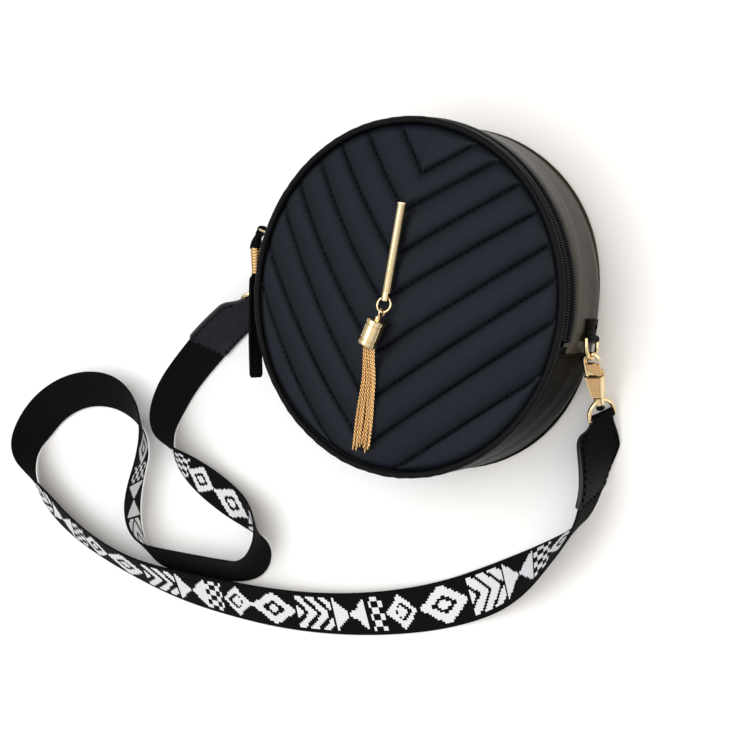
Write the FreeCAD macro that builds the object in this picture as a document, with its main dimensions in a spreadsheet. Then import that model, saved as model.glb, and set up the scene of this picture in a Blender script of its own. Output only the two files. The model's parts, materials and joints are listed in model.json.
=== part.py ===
import FreeCAD, Part
import math
import os

from FreeCAD import Placement, Rotation, Vector

# Round shoulder bag lying on its back. Millimetres, +Z out of the quilted front,
# +Y towards the top of the zip, origin at the middle of the back face.

doc = FreeCAD.newDocument("circle_bag")
sheet = doc.addObject("Spreadsheet::Sheet", "Sizes")

SIZES = {
    # body of the bag
    "bag_diameter": 210.0,
    "bag_depth": 70.0,
    "piping_radius": 2.0,
    "piping_proud": 1.0,
    "back_seam_height": 4.0,
    "panel_crown": 6.0,
    "panel_edge_rise": 1.5,
    "leather_thickness": 1.2,
    "back_thickness": 1.6,
    "board_thickness": 1.5,
    "padding_thickness": 4.0,
    "lining_thickness": 0.6,
    "layer_gap": 0.1,
    "fold_gap": 0.25,
    "quilt_depth": 2.2,
    "quilt_width": 7.0,
    # zip round the upper side
    "zip_end_angle": -6.0,
    "zip_strip_width": 2.5,
    "zip_row_gap": 1.0,
    "zip_row_width": 3.2,
    "zip_row_thickness": 2.0,
    "tape_thickness": 0.6,
    "tape_width": 11.5,
    "tape_shown": 1.3,
    "seam_gap_angle": 0.3,
    "stop_angle": -3.6,
    "stop_span_angle": 1.2,
    "slider_angle": 169.0,
    "slider_span_angle": 6.4,
    "slider_width": 8.0,
    "slider_plate": 1.4,
    "slider_wall": 0.5,
    "slider_clearance": 1.4,
    # zip pull
    "pull_pin_radius": 0.9,
    "pull_eye_radius": 2.2,
    "pull_eye_width": 4.8,
    "pull_pin_clearance": 0.2,
    "pull_lug_width": 1.4,
    "pull_lug_reach": 5.0,
    "pull_ear_radius": 1.8,
    "pull_neck_length": 8.0,
    "pull_neck_width": 4.4,
    "pull_neck_thickness": 1.6,
    "pull_neck_turn": 74.4,
    "pull_core_width": 3.2,
    "pull_drop_turn": 112.3,
    "pull_width": 12.0,
    "pull_thickness": 2.2,
    "pull_length": 65.5,
    "ferrule_start": 5.0,
    "ferrule_length": 16.5,
    "ferrule_radius": 3.7,
    "ferrule_tip_radius": 2.9,
    "ferrule_bore": 2.2,
    "ferrule_ribs": 9,
    "ferrule_rib_depth": 0.35,
    "ferrule_rib_flat": 0.3,
    # ornament bar and tassel
    "bar_side": -2.0,
    "bar_radius": 2.75,
    "bar_top": 55.0,
    "bar_gap": 0.5,
    "bar_post_radius": 1.2,
    "bar_post_inset": 9.0,
    "bar_post_clearance": 0.1,
    "washer_radius": 4.5,
    "washer_thickness": 0.8,
    "lug_radius": 2.6,
    "lug_thickness": 1.4,
    "lug_hole_radius": 1.15,
    "jump_ring_radius": 4.4,
    "jump_ring_wire": 0.7,
    "jump_ring_tilt": 12.0,
    "link_radius": 2.6,
    "link_wire": 0.7,
    "link_play": 0.4,
    "cap_length": 16.0,
    "cap_radius": 6.3,
    "cap_end_radius": 5.8,
    "cap_neck_length": 2.4,
    "cap_neck_radius": 1.8,
    "cap_bore_radius": 4.7,
    "cap_bore_depth": 5.0,
    "cap_lift": 0.4,
    "chain_count": 12,
    "chain_length": 60.0,
    "chain_wire": 0.8,
    "chain_circle": 3.2,
    "chain_fan": 6.5,
    "chain_rise": 2.0,
    # side tabs and rings
    "tab_width": 13.0,
    "tab_thickness": 2.2,
    "tab_height": 25.0,
    "tab_top_angle": 5.0,
    "tab_end_angle": -0.2,
    "tab_gap": 0.2,
    "ring_angle": -1.2,
    "ring_wire": 1.2,
    "ring_fit": 0.2,
    "ring_straight": 3.0,
    # swivel hooks and strap loops
    "bow_radius": 4.4,
    "hook_wire": 1.3,
    "ring_slack": 1.35,
    "hook_base_start": 9.0,
    "hook_base_length": 14.0,
    "hook_base_width": 11.4,
    "hook_tip_width": 7.0,
    "hook_base_thickness": 5.0,
    "post_radius": 1.7,
    "post_length": 6.4,
    "post_head_radius": 2.7,
    "post_head_length": 1.4,
    "post_fit": 0.25,
    "barrel_length": 4.0,
    "barrel_wall": 1.0,
    "gate_radius": 1.1,
    "gate_gap": 0.3,
    "gate_pin_radius": 0.7,
    "gate_eye_radius": 1.7,
    "gate_eye_width": 2.4,
    "ear_thickness": 0.9,
    "loop_wire": 1.25,
    "loop_straight": 1.5,
    # strap
    "strap_width": 30.0,
    "strap_thickness": 1.6,
    "strap_floor_gap": 0.8,
    "end_thickness": 3.4,
    "end_width": 31.0,
    "end_neck_width": 14.0,
    "end_eye_radius": 2.6,
    "end_neck_thickness": 4.2,
}

for row, (alias, value) in enumerate(SIZES.items(), start=1):
    sheet.set(f"A{row}", alias)
    sheet.set(f"B{row}", f"{value:g}")
    sheet.setAlias(f"B{row}", alias)
doc.recompute()

NODES = []
CUT_OVER = 1  # how far a tool or an overlapping piece passes the face it meets


def num(expression):
    """Value of an expression over the sheet's sizes."""
    return float(sheet.evalExpression(expression))


def cell(name):
    return f"Sizes.{name}"


# Radii and heights that several pieces share, as expressions over the sheet.
BAG_R = "(Sizes.bag_diameter / 2)"
PIPING_R = f"({BAG_R} - Sizes.piping_radius)"
LEATHER_OUT = f"({BAG_R} - Sizes.piping_proud)"
LEATHER_IN = f"({LEATHER_OUT} - Sizes.leather_thickness)"
TAPE_OUT = f"({LEATHER_IN} - Sizes.layer_gap)"
TAPE_IN = f"({TAPE_OUT} - Sizes.tape_thickness)"
LINING_OUT = f"({TAPE_IN} - Sizes.layer_gap)"
LINING_IN = f"({LINING_OUT} - Sizes.lining_thickness)"
PANEL_R = f"({PIPING_R} - Sizes.piping_radius - 2 * Sizes.layer_gap)"
WALL_LOW = "(Sizes.back_seam_height + Sizes.piping_radius + Sizes.layer_gap)"
FRONT_SEAM = "(Sizes.bag_depth - Sizes.panel_crown - Sizes.panel_edge_rise)"
WALL_HIGH = f"({FRONT_SEAM} - Sizes.piping_radius - Sizes.layer_gap)"
ROW_IN = f"({TAPE_OUT} + Sizes.layer_gap)"
ROW_OUT = f"({ROW_IN} + Sizes.zip_row_thickness)"
ROW_NEAR = "(Sizes.zip_row_gap / 2)"
ROW_FAR = f"({ROW_NEAR} + Sizes.zip_row_width)"
STRIP_NEAR = f"({ROW_FAR} + Sizes.tape_shown)"
ZIP_HEIGHT = f"({WALL_HIGH} - Sizes.zip_strip_width - {STRIP_NEAR})"
BACK_LINING_TOP = (
    "(Sizes.back_thickness + Sizes.board_thickness + Sizes.lining_thickness + 2 * Sizes.layer_gap)"
)
ZIP_START = "(Sizes.zip_end_angle + Sizes.seam_gap_angle)"
ZIP_END = f"(180 - {ZIP_START})"
FOLD_START = "Sizes.seam_gap_angle"
FOLD_END = "(180 - Sizes.seam_gap_angle)"
BAR_HEIGHT = "(Sizes.bag_depth + Sizes.bar_gap + Sizes.bar_radius)"
RING_HALF = "(Sizes.tab_width / 2 + Sizes.ring_fit + Sizes.ring_wire)"
LOOP_HALF = "(Sizes.end_neck_width / 2 + Sizes.ring_fit + Sizes.loop_wire)"


def bind(obj, **expressions):
    for prop, expression in expressions.items():
        obj.setExpression(prop.replace("_at_", "."), expression)
    return obj


def turned(obj, angle):
    """Turn an object about the bag's axis by an angle expression."""
    obj.Placement.Rotation = Rotation(Vector(0, 0, 1), 1)
    obj.setExpression("Placement.Rotation.Angle", f"({angle}) * 1 deg")
    return obj


def keep(label, obj):
    obj.Label = label
    NODES.append(obj)
    return obj


def cut(base, tool):
    obj = doc.addObject("Part::Cut", "cut")
    obj.Base = base
    obj.Tool = tool
    return obj


def common(first, second):
    obj = doc.addObject("Part::Common", "common")
    obj.Base = first
    obj.Tool = second
    return obj


def fuse(shapes):
    obj = doc.addObject("Part::MultiFuse", "fuse")
    obj.Shapes = shapes
    return obj


def cylinder(radius, low, high, start=None, end=None):
    obj = doc.addObject("Part::Cylinder", "cylinder")
    bind(obj, Radius=radius, Height=f"({high}) - ({low})", Placement_at_Base_at_z=low)
    if start is not None:
        bind(obj, Angle=f"({end}) - ({start})")
        turned(obj, start)
    return obj


def wall(inner, outer, low, high, start, end):
    """Part of a round wall between two angles about the bag's axis."""
    tool = cylinder(inner, f"({low}) - {CUT_OVER}", f"({high}) + {CUT_OVER}")
    return cut(cylinder(outer, low, high, start, end), tool)


def ring_arc(middle, section, height, start, end):
    obj = doc.addObject("Part::Torus", "torus")
    bind(obj, Radius1=middle, Radius2=section, Angle3=f"({end}) - ({start})",
         Placement_at_Base_at_z=height)
    return turned(obj, start)


def pivot(name, place, axis):
    """Print a joint's place and axis in millimetres."""
    print("pivot", name, *[round(v, 4) for v in (*place, *axis)])


def solid(label, shape):
    obj = doc.addObject("Part::Feature", label)
    obj.Shape = shape
    return keep(label, obj)


def placed(primitive, placement, **expressions):
    """A primitive in a local frame given by a placement."""
    obj = doc.addObject(primitive, primitive.split("::")[1].lower())
    bind(obj, **expressions)
    obj.Placement = placement
    return obj


# Back: panel, stiffener, lining and piping
def make_back():
    board_low = "(Sizes.back_thickness + Sizes.layer_gap)"
    board_high = f"({board_low} + Sizes.board_thickness)"
    keep("back_panel", cylinder(PANEL_R, "0", cell("back_thickness")))
    keep("back_board", cylinder(PANEL_R, board_low, board_high))
    keep("back_lining", cylinder(PANEL_R, f"{board_high} + Sizes.layer_gap", BACK_LINING_TOP))
    keep("back_piping", ring_arc(PIPING_R, cell("piping_radius"), cell("back_seam_height"), "0", "360"))


# Side: lower gusset, upper gusset behind the zip, and their linings
def make_gusset():
    low_start = "(180 - Sizes.zip_end_angle)"
    low_end = "(360 + Sizes.zip_end_angle)"
    lining_high = f"({ZIP_HEIGHT} - Sizes.tape_width)"
    keep("gusset_bottom", wall(LEATHER_IN, LEATHER_OUT, WALL_LOW, WALL_HIGH, low_start, low_end))
    keep("gusset_bottom_lining",
         wall(LINING_IN, LINING_OUT, WALL_LOW, WALL_HIGH, low_start, low_end))
    gusset_high = f"({ZIP_HEIGHT} - {STRIP_NEAR})"
    keep("gusset_top", wall(LEATHER_IN, LEATHER_OUT, WALL_LOW, gusset_high, ZIP_START, ZIP_END))
    keep("gusset_top_lining",
         wall(LINING_IN, LINING_OUT, WALL_LOW, lining_high, ZIP_START, ZIP_END))


# Zip: tapes, rows of teeth, front strip, end pieces and stops
def make_zip():
    middle = ZIP_HEIGHT
    back_near = f"({middle} - {ROW_NEAR})"
    front_near = f"({middle} + {ROW_NEAR})"
    tape_back_low = f"({back_near} - Sizes.tape_width)"
    tape_front_high = f"({WALL_HIGH} - 2 * Sizes.layer_gap)"
    strip_low = f"({middle} + {STRIP_NEAR})"
    keep("zip_tape_back", wall(TAPE_IN, TAPE_OUT, tape_back_low, back_near, ZIP_START, ZIP_END))
    keep("zip_teeth_back",
         wall(ROW_IN, ROW_OUT, f"{middle} - {ROW_FAR}", back_near, "0", "180"))
    keep("zip_tape_front",
         wall(TAPE_IN, TAPE_OUT, front_near, tape_front_high, FOLD_START, FOLD_END))
    keep("zip_teeth_front",
         wall(ROW_IN, ROW_OUT, front_near, f"{middle} + {ROW_FAR}", FOLD_START, FOLD_END))
    keep("zip_strip_front", wall(LEATHER_IN, LEATHER_OUT, strip_low, WALL_HIGH, FOLD_START, FOLD_END))
    spans = {
        "right": (ZIP_START, "-Sizes.seam_gap_angle"),
        "left": ("(180 + Sizes.seam_gap_angle)", ZIP_END),
    }
    for side, (start, end) in spans.items():
        strip = wall(LEATHER_IN, LEATHER_OUT, strip_low, WALL_HIGH, start, end)
        tape = wall(TAPE_IN, LEATHER_IN, front_near, WALL_HIGH, start, end)
        keep(f"zip_end_{side}", fuse([strip, tape]))
    right_stop = ("Sizes.stop_angle", "(Sizes.stop_angle + Sizes.stop_span_angle)")
    left_stop = (f"(180 - {right_stop[1]})", f"(180 - {right_stop[0]})")
    stops = [
        wall(ROW_IN, ROW_OUT, f"{middle} - {ROW_FAR}", f"{middle} + {ROW_FAR}", start, end)
        for start, end in (right_stop, left_stop)
    ]
    group = doc.addObject("Part::Compound", "stops")
    group.Links = stops
    keep("zip_stops", group)


# Front panel: the dome that its layers follow, and the chevron seams sewn into it. A seam has
# its apex x and y, the rise of its right and left arms in degrees, and how far the left arm has
# bowed up at 100 mm from the apex.
DOME_R = f"(({PANEL_R} ^ 2 + Sizes.panel_crown ^ 2) / (2 * Sizes.panel_crown))"
DOME_CENTRE = f"(Sizes.bag_depth - {DOME_R})"
SEAMS = [
    (2, 73, 35, 50, 0), (-4.5, 50.3, 35, 44, 45), (-6, 23.2, 37.5, 44.5, 27), (-8, -3.2, 38, 41.5, 45),
    (-7, -34, 40.5, 42, 33), (-8, -63.7, 42, 44, 30), (-6, -90.8, 43, 40.5, 28), (-3, -117, 43, 35, 40),
]
RIGHT_STEPS = (0, 190)
LEFT_STEPS = (0, 36, 72, 108)


def seam_runs():
    """Straight runs of the chevron seams, as pairs of points in plan."""
    runs = []
    for x, y, right, left, bow in SEAMS:
        apex = Vector(x, y, 0)
        rise = math.tan(math.radians(right))
        arms = [[apex + Vector(step, step * rise, 0) for step in RIGHT_STEPS]]
        rise = math.tan(math.radians(left))
        arms.append([apex + Vector(-step, step * rise + bow * (step / 100) ** 2, 0) for step in LEFT_STEPS])
        for arm in arms:
            runs += list(zip(arm, arm[1:]))
    return runs


def groove(start, end, radius):
    """Wedge along a straight run of seam, turned about the middle of the dome's arc over it."""
    up = Vector(0, 0, 1)
    way = (end - start).normalize()
    across = up.cross(way)
    foot = across * start.dot(across)
    middle = foot + up * num(DOME_CENTRE)
    arc_r = math.sqrt(radius ** 2 - foot.Length ** 2)
    begin = math.degrees(math.asin((start.dot(way) - CUT_OVER) / arc_r))
    finish = math.degrees(math.asin((end.dot(way) + CUT_OVER) / arc_r))
    depth = num(cell("quilt_depth"))
    half = num("Sizes.quilt_width / 2") * (1 + CUT_OVER / depth)
    corners = [middle + up * (arc_r - depth)]
    corners += [middle + up * (arc_r + CUT_OVER) + across * side for side in (half, -half)]
    section = Part.Face(Part.makePolygon(corners + corners[:1]))
    section.rotate(middle, across, begin)
    return section.revolve(middle, across, finish - begin)


def on_panel(run):
    """Whether a run of seam comes over the panel."""
    start, end = run
    way = end - start
    share = min(max(-start.dot(way) / way.dot(way), 0), 1)
    return (start + way * share).Length < num(PANEL_R)


def dome(depth, quilted, over=0):
    """Block whose top is the panel's surface at a depth; over makes it a tool for the block above."""
    radius = num(f"{DOME_R} - {depth}")
    ball = Part.makeSphere(radius)
    # a turned ball keeps its poles and seam off the panel
    ball.Placement = Placement(Vector(0, 0, num(DOME_CENTRE)), Rotation(Vector(0, 1, 0), 90))
    low = num(ZIP_HEIGHT) - over
    block = Part.makeCylinder(num(PANEL_R) + over, num(cell("bag_depth")) - low, Vector(0, 0, low))
    block = block.common(ball)
    if quilted:
        block = block.cut([groove(*run, radius) for run in seam_runs() if on_panel(run)])
    return block


# Front panel: crowned cover, padding and lining, parted at the fold across the middle
def make_front():
    padding_top = "(Sizes.leather_thickness + Sizes.layer_gap)"
    lining_top = f"({padding_top} + Sizes.padding_thickness + Sizes.layer_gap)"
    layers = (
        ("front_cover", "0", cell("leather_thickness"), True, True),
        ("front_padding", padding_top, cell("padding_thickness"), True, False),
        ("front_lining", lining_top, cell("lining_thickness"), False, False),
    )
    for name, depth, thickness, quilted, quilted_under in layers:
        shell = doc.addObject("Part::Feature", name)
        shell.Shape = dome(depth, quilted).cut(dome(f"({depth} + {thickness})", quilted_under, CUT_OVER))
        for half in ("upper", "lower"):
            side = doc.addObject("Part::Box", "half")
            low = "Sizes.fold_gap" if half == "upper" else "(-Sizes.bag_diameter - Sizes.fold_gap)"
            bind(side, Length="2 * Sizes.bag_diameter", Width=cell("bag_diameter"),
                 Height=cell("bag_depth"), Placement_at_Base_at_x="-Sizes.bag_diameter",
                 Placement_at_Base_at_y=low)
            layer = common(shell, side)
            if half == "upper":
                for post in bar_posts("bar_post_clearance"):
                    layer = cut(layer, post)
            keep(f"{name}_{half}", layer)
    for half, start, end in (("upper", FOLD_START, FOLD_END),
                             ("lower", "(180 + Sizes.seam_gap_angle)", "(360 - Sizes.seam_gap_angle)")):
        keep(f"front_piping_{half}",
             ring_arc(PIPING_R, cell("piping_radius"), FRONT_SEAM, start, end))


def post_positions():
    """Heights along the bar where its two posts go through the panel."""
    return ("(Sizes.lug_radius + Sizes.bar_post_inset)", "(Sizes.bar_top - Sizes.bar_post_inset)")


def bar_posts(extra=None):
    posts = []
    radius = "Sizes.bar_post_radius" + (f" + Sizes.{extra}" if extra else "")
    for place in post_positions():
        post = cylinder(radius, WASHER_LOW, BAR_HEIGHT)
        bind(post, Placement_at_Base_at_x=cell("bar_side"), Placement_at_Base_at_y=place)
        posts.append(post)
    return posts


# The washers lie under the lining at the post nearer the rim.
STACK = "(Sizes.leather_thickness + Sizes.padding_thickness + Sizes.lining_thickness + 2 * Sizes.layer_gap)"
CROWN_DROP = (
    f"(Sizes.panel_crown * (Sizes.bar_top / {PANEL_R}) ^ 2)"
)
WASHER_HIGH = f"(Sizes.bag_depth - {STACK} - {CROWN_DROP} - Sizes.layer_gap)"
WASHER_LOW = f"({WASHER_HIGH} - Sizes.washer_thickness)"


# Ornament bar with its eye and posts, and the washers that hold it
def make_bar():
    along = Rotation(Vector(1, 0, 0), -90)
    bar = doc.addObject("Part::Cylinder", "bar")
    bind(bar, Radius=cell("bar_radius"), Height="Sizes.bar_top - Sizes.lug_radius - Sizes.bar_radius",
         Placement_at_Base_at_x=cell("bar_side"), Placement_at_Base_at_z=BAR_HEIGHT,
         Placement_at_Base_at_y="Sizes.lug_radius")
    bar.Placement.Rotation = along
    tip = doc.addObject("Part::Sphere", "tip")
    bind(tip, Radius=cell("bar_radius"), Placement_at_Base_at_x=cell("bar_side"),
         Placement_at_Base_at_y="Sizes.bar_top - Sizes.bar_radius", Placement_at_Base_at_z=BAR_HEIGHT)
    across = Rotation(Vector(0, 1, 0), 90)
    lug = doc.addObject("Part::Cylinder", "lug")
    hole = doc.addObject("Part::Cylinder", "hole")
    web = doc.addObject("Part::Box", "web")
    lug_x = "Sizes.bar_side - Sizes.lug_thickness / 2"
    for obj, radius in ((lug, "lug_radius"), (hole, "lug_hole_radius")):
        bind(obj, Radius=cell(radius), Height=cell("lug_thickness"), Placement_at_Base_at_x=lug_x,
             Placement_at_Base_at_z=BAR_HEIGHT)
        obj.Placement.Rotation = across
    bind(web, Length=cell("lug_thickness"), Width="Sizes.lug_radius + Sizes.bar_radius",
         Height="2 * Sizes.lug_hole_radius", Placement_at_Base_at_x=lug_x,
         Placement_at_Base_at_z=f"{BAR_HEIGHT} - Sizes.lug_hole_radius")
    keep("ornament_bar", cut(fuse([bar, tip, lug, web] + bar_posts()), hole))
    washers = []
    for place in post_positions():
        disc = cylinder(cell("washer_radius"), WASHER_LOW, WASHER_HIGH)
        hole = cylinder("Sizes.bar_post_radius + Sizes.bar_post_clearance",
                        f"{WASHER_LOW} - {CUT_OVER}", f"{WASHER_HIGH} + {CUT_OVER}")
        for obj in (disc, hole):
            bind(obj, Placement_at_Base_at_x=cell("bar_side"), Placement_at_Base_at_y=place)
        washers.append(cut(disc, hole))
    group = doc.addObject("Part::Compound", "washers")
    group.Links = washers
    keep("bar_washers", group)


# Tassel: jump ring, link, barrel cap and fine chains
def make_tassel():
    tilt = num(cell("jump_ring_tilt"))
    pivot_point = Vector(num(cell("bar_side")), 0, num(BAR_HEIGHT))
    ring_r = num(cell("jump_ring_radius"))
    outward = Rotation(Vector(1, 0, 0), -tilt)
    centre = pivot_point + outward.multVec(Vector(0, -ring_r, 0))
    far = pivot_point + outward.multVec(Vector(0, -2 * ring_r, 0))
    keep("jump_ring", placed("Part::Torus", Placement(centre, outward),
                             Radius1=cell("jump_ring_radius"), Radius2=cell("jump_ring_wire")))
    link_reach = num("Sizes.jump_ring_wire + Sizes.link_wire + Sizes.link_play")
    link_centre = far + Vector(0, link_reach - num(cell("link_radius")), 0)
    upright = Rotation(Vector(0, 1, 0), 90)
    keep("tassel_link", placed("Part::Torus", Placement(link_centre, upright),
                               Radius1=cell("link_radius"), Radius2=cell("link_wire")))
    pivot("tassel_ring", pivot_point, Vector(-1, 0, 0))
    pivot("tassel", far, Vector(0, 0, 1))
    hollow = placed("Part::Torus", Placement(link_centre, upright), Radius1=cell("link_radius"),
                    Radius2="Sizes.link_wire + Sizes.layer_gap")
    make_cap(link_centre, hollow)


def make_cap(link_centre, hollow):
    link_end = link_centre.y - num(cell("link_radius"))
    top = link_end - num("Sizes.cap_neck_length - Sizes.cap_neck_radius / 2")
    sphere_drop = num(CROWN_DROP) * ((top - num(cell("cap_length")) / 2) / num(cell("bar_top"))) ** 2
    height = num("Sizes.bag_depth + Sizes.cap_radius + Sizes.cap_lift") - sphere_drop
    body = doc.addObject("PartDesign::Body", "cap_body")
    plane = next(f for f in body.Origin.OriginFeatures if f.Role == "XZ_Plane")
    sketch = body.newObject("Sketcher::SketchObject", "cap_profile")
    sketch.AttachmentSupport = [(plane, "")]
    sketch.MapMode = "FlatFace"
    neck = num(cell("cap_neck_radius"))
    length = num(cell("cap_length"))
    end_r = num(cell("cap_end_radius"))
    mid_r = num(cell("cap_radius"))
    bore = num(cell("cap_bore_radius"))
    depth = num(cell("cap_bore_depth"))
    neck_length = num(cell("cap_neck_length"))
    corners = [(0, neck_length), (neck, neck_length), (neck, 0), (end_r, 0)]
    closing = [(end_r, -length), (bore, -length), (bore, depth - length), (0, depth - length)]
    for a, b in zip(corners, corners[1:]):
        sketch.addGeometry(Part.LineSegment(Vector(*a, 0), Vector(*b, 0)))
    belly = Part.Arc(Vector(end_r, 0, 0), Vector(mid_r, -length / 2, 0), Vector(end_r, -length, 0))
    sketch.addGeometry(belly)
    closing.append(corners[0])
    for a, b in zip(closing, closing[1:]):
        sketch.addGeometry(Part.LineSegment(Vector(*a, 0), Vector(*b, 0)))
    turn = body.newObject("PartDesign::Revolution", "cap_turn")
    turn.Profile = sketch
    turn.ReferenceAxis = (sketch, ["V_Axis"])
    turn.Angle = 360
    # the sketch's upward axis is laid along the bag's +Y
    body.Placement = Placement(Vector(link_centre.x, top, height), Rotation(Vector(1, 0, 0), -90))
    doc.recompute()
    keep("tassel_cap", cut(body, hollow))
    make_chains(Vector(link_centre.x, top - length, height))


def make_chains(end):
    """Strands from a circle in the cap to two rows that lie on the panel."""
    count = int(num(cell("chain_count")))
    columns = count // 2
    wire = num(cell("chain_wire"))
    circle = num(cell("chain_circle"))
    fan = num(cell("chain_fan"))
    start_y = end.y + num("Sizes.cap_bore_depth - Sizes.link_play")
    finish_y = start_y - num(cell("chain_length"))
    drop = num(CROWN_DROP) * (finish_y / num(cell("bar_top"))) ** 2
    rest = num("Sizes.bag_depth + Sizes.chain_wire + Sizes.cap_lift") - drop
    strands = []
    for index in range(2 * columns):
        turn = math.pi * (index + 0.5) / columns
        above = index < columns
        column = columns - 1 - index if above else index - columns
        start = Vector(end.x + circle * math.cos(turn), start_y, end.z + circle * math.sin(turn))
        lift = num(cell("chain_rise")) if above else 0
        spread = fan * (2 * column / (columns - 1) - 1)
        finish = Vector(end.x + spread, finish_y, rest + lift)
        strands.append(Part.makeCylinder(wire, (finish - start).Length, start, finish - start))
    solid("tassel_chains", Part.makeCompound(strands))


# Zip slider and its pull, made at the top of the round and turned to its place
def make_slider():
    half = "(Sizes.slider_span_angle / 2)"
    start = f"(Sizes.slider_angle - {half})"
    end = f"(Sizes.slider_angle + {half})"
    low = f"({ZIP_HEIGHT} - Sizes.slider_width / 2)"
    high = f"({ZIP_HEIGHT} + Sizes.slider_width / 2)"
    top_in = f"({ROW_OUT} + Sizes.slider_clearance)"
    top_out = f"({top_in} + Sizes.slider_plate)"
    under_out = f"({TAPE_IN} - Sizes.slider_clearance)"
    under_in = f"({under_out} - Sizes.slider_plate)"
    plates = [
        wall(top_in, top_out, low, high, start, end),
        wall(under_in, under_out, low, high, start, end),
        wall(under_in, top_out, f"{ZIP_HEIGHT} - Sizes.slider_wall / 2",
             f"{ZIP_HEIGHT} + Sizes.slider_wall / 2", start, cell("slider_angle")),
    ]
    turn = Rotation(Vector(0, 0, 1), num(cell("slider_angle")))
    pin_r = num(f"{top_out} + Sizes.pull_eye_radius + Sizes.pull_pin_clearance + Sizes.pull_lug_reach")
    lug_at = num("Sizes.pull_eye_width / 2 + Sizes.pull_pin_clearance")
    lug_w = num(cell("pull_lug_width"))
    zip_z = num(ZIP_HEIGHT)
    pin_low = Vector(pin_r, 0, zip_z - lug_at - lug_w)
    pin = placed("Part::Cylinder", Placement(turn.multVec(pin_low), turn),
                 Radius=cell("pull_pin_radius"),
                 Height="Sizes.pull_eye_width + 2 * Sizes.pull_pin_clearance + 2 * Sizes.pull_lug_width")
    plates.append(pin)
    for z in (zip_z - lug_at - lug_w, zip_z + lug_at):
        ear = placed("Part::Cylinder", Placement(turn.multVec(Vector(pin_r, 0, z)), turn),
                     Radius=cell("pull_ear_radius"), Height=cell("pull_lug_width"))
        foot_low = Vector(num(top_in), -num(cell("pull_ear_radius")), z)
        foot = placed("Part::Box", Placement(turn.multVec(foot_low), turn),
                      Length=f"{pin_r} - {top_in}", Width="2 * Sizes.pull_ear_radius",
                      Height=cell("pull_lug_width"))
        plates += [ear, foot]
    keep("zip_slider", fuse(plates))
    pin_middle = turn.multVec(Vector(pin_r, 0, zip_z))
    pivot("pull", pin_middle, Vector(0, 0, -1))
    make_pull(pin_middle)


# Pull hanging beside the bag: a neck out from the slider, a core in the ferrule and a flat strip
def make_pull(pin):
    up = Vector(0, 0, 1)
    neck_way = Rotation(up, num("Sizes.slider_angle + Sizes.pull_neck_turn"))
    drop_way = Rotation(up, num("Sizes.slider_angle + Sizes.pull_drop_turn"))
    core_length = "(Sizes.ferrule_start + Sizes.ferrule_length)"
    fold_at = pin + neck_way.multVec(Vector(num(cell("pull_neck_length")), 0, 0))
    strip_at = fold_at + drop_way.multVec(Vector(num(core_length), 0, 0))
    thin = cell("pull_neck_thickness")

    def rod(place, radius, height):
        return placed("Part::Cylinder", Placement(place - up * (num(height) / 2), Rotation()), Radius=radius,
                      Height=height)

    def band(start, way, length, width, thickness):
        corner = Vector(0, -num(thickness) / 2, -num(width) / 2)
        return placed("Part::Box", Placement(start + way.multVec(corner), way), Length=length,
                      Width=thickness, Height=width)

    pieces = [
        rod(pin, cell("pull_eye_radius"), cell("pull_eye_width")),
        band(pin, neck_way, cell("pull_neck_length"), cell("pull_neck_width"), thin),
        rod(fold_at, f"{thin} / 2", cell("pull_neck_width")),
        band(fold_at, drop_way, f"{core_length} + {CUT_OVER}", cell("pull_core_width"), thin),
        band(strip_at, drop_way, cell("pull_length"), cell("pull_width"), cell("pull_thickness")),
    ]
    bore = rod(pin, "Sizes.pull_pin_radius + Sizes.pull_pin_clearance", cell("pull_eye_width"))
    keep("pull_leather", cut(fuse(pieces), bore))
    make_ferrule(fold_at, drop_way)


def make_ferrule(start, way):
    length = num(cell("ferrule_length"))
    ribs = int(num(cell("ferrule_ribs")))
    wide = num(cell("ferrule_radius"))
    tip = num(cell("ferrule_tip_radius"))
    bore = num(cell("ferrule_bore"))
    dip = num(cell("ferrule_rib_depth"))
    body = doc.addObject("PartDesign::Body", "ferrule_body")
    plane = next(f for f in body.Origin.OriginFeatures if f.Role == "XZ_Plane")
    sketch = body.newObject("Sketcher::SketchObject", "ferrule_profile")
    sketch.AttachmentSupport = [(plane, "")]
    sketch.MapMode = "FlatFace"
    step = length / ribs
    rise = step * (1 - num(cell("ferrule_rib_flat"))) / 2
    outline = [(bore, length), (bore, 0)]
    for index in range(ribs):
        crest = wide + (tip - wide) * (index + 0.5) / ribs
        base = index * step
        outline += [(crest - dip, base), (crest, base + rise), (crest, base + step - rise)]
    outline += [(tip - dip, length), (bore, length)]
    for a, b in zip(outline, outline[1:]):
        sketch.addGeometry(Part.LineSegment(Vector(*a, 0), Vector(*b, 0)))
    turn = body.newObject("PartDesign::Revolution", "ferrule_turn")
    turn.Profile = sketch
    turn.ReferenceAxis = (sketch, ["V_Axis"])
    turn.Angle = 360
    # its axis lies along the core
    base = start + way.multVec(Vector(num(cell("ferrule_start")), 0, 0))
    body.Placement = Placement(base, way.multiply(Rotation(Vector(0, 1, 0), 90)))
    keep("pull_ferrule", body)


# Frame at one side where the strap is clipped on. Heading is the level direction in which
# the clipped hook leaves its ring, as a bag angle, and slope is how far it dips to the floor.
SIDES = {
    "right": {"heading": -78.0, "slope": -24.0, "lean": 147.0, "mirror": False},
    "left": {"heading": 216.5, "slope": -23.0, "lean": -25.0, "mirror": True},
}


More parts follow.
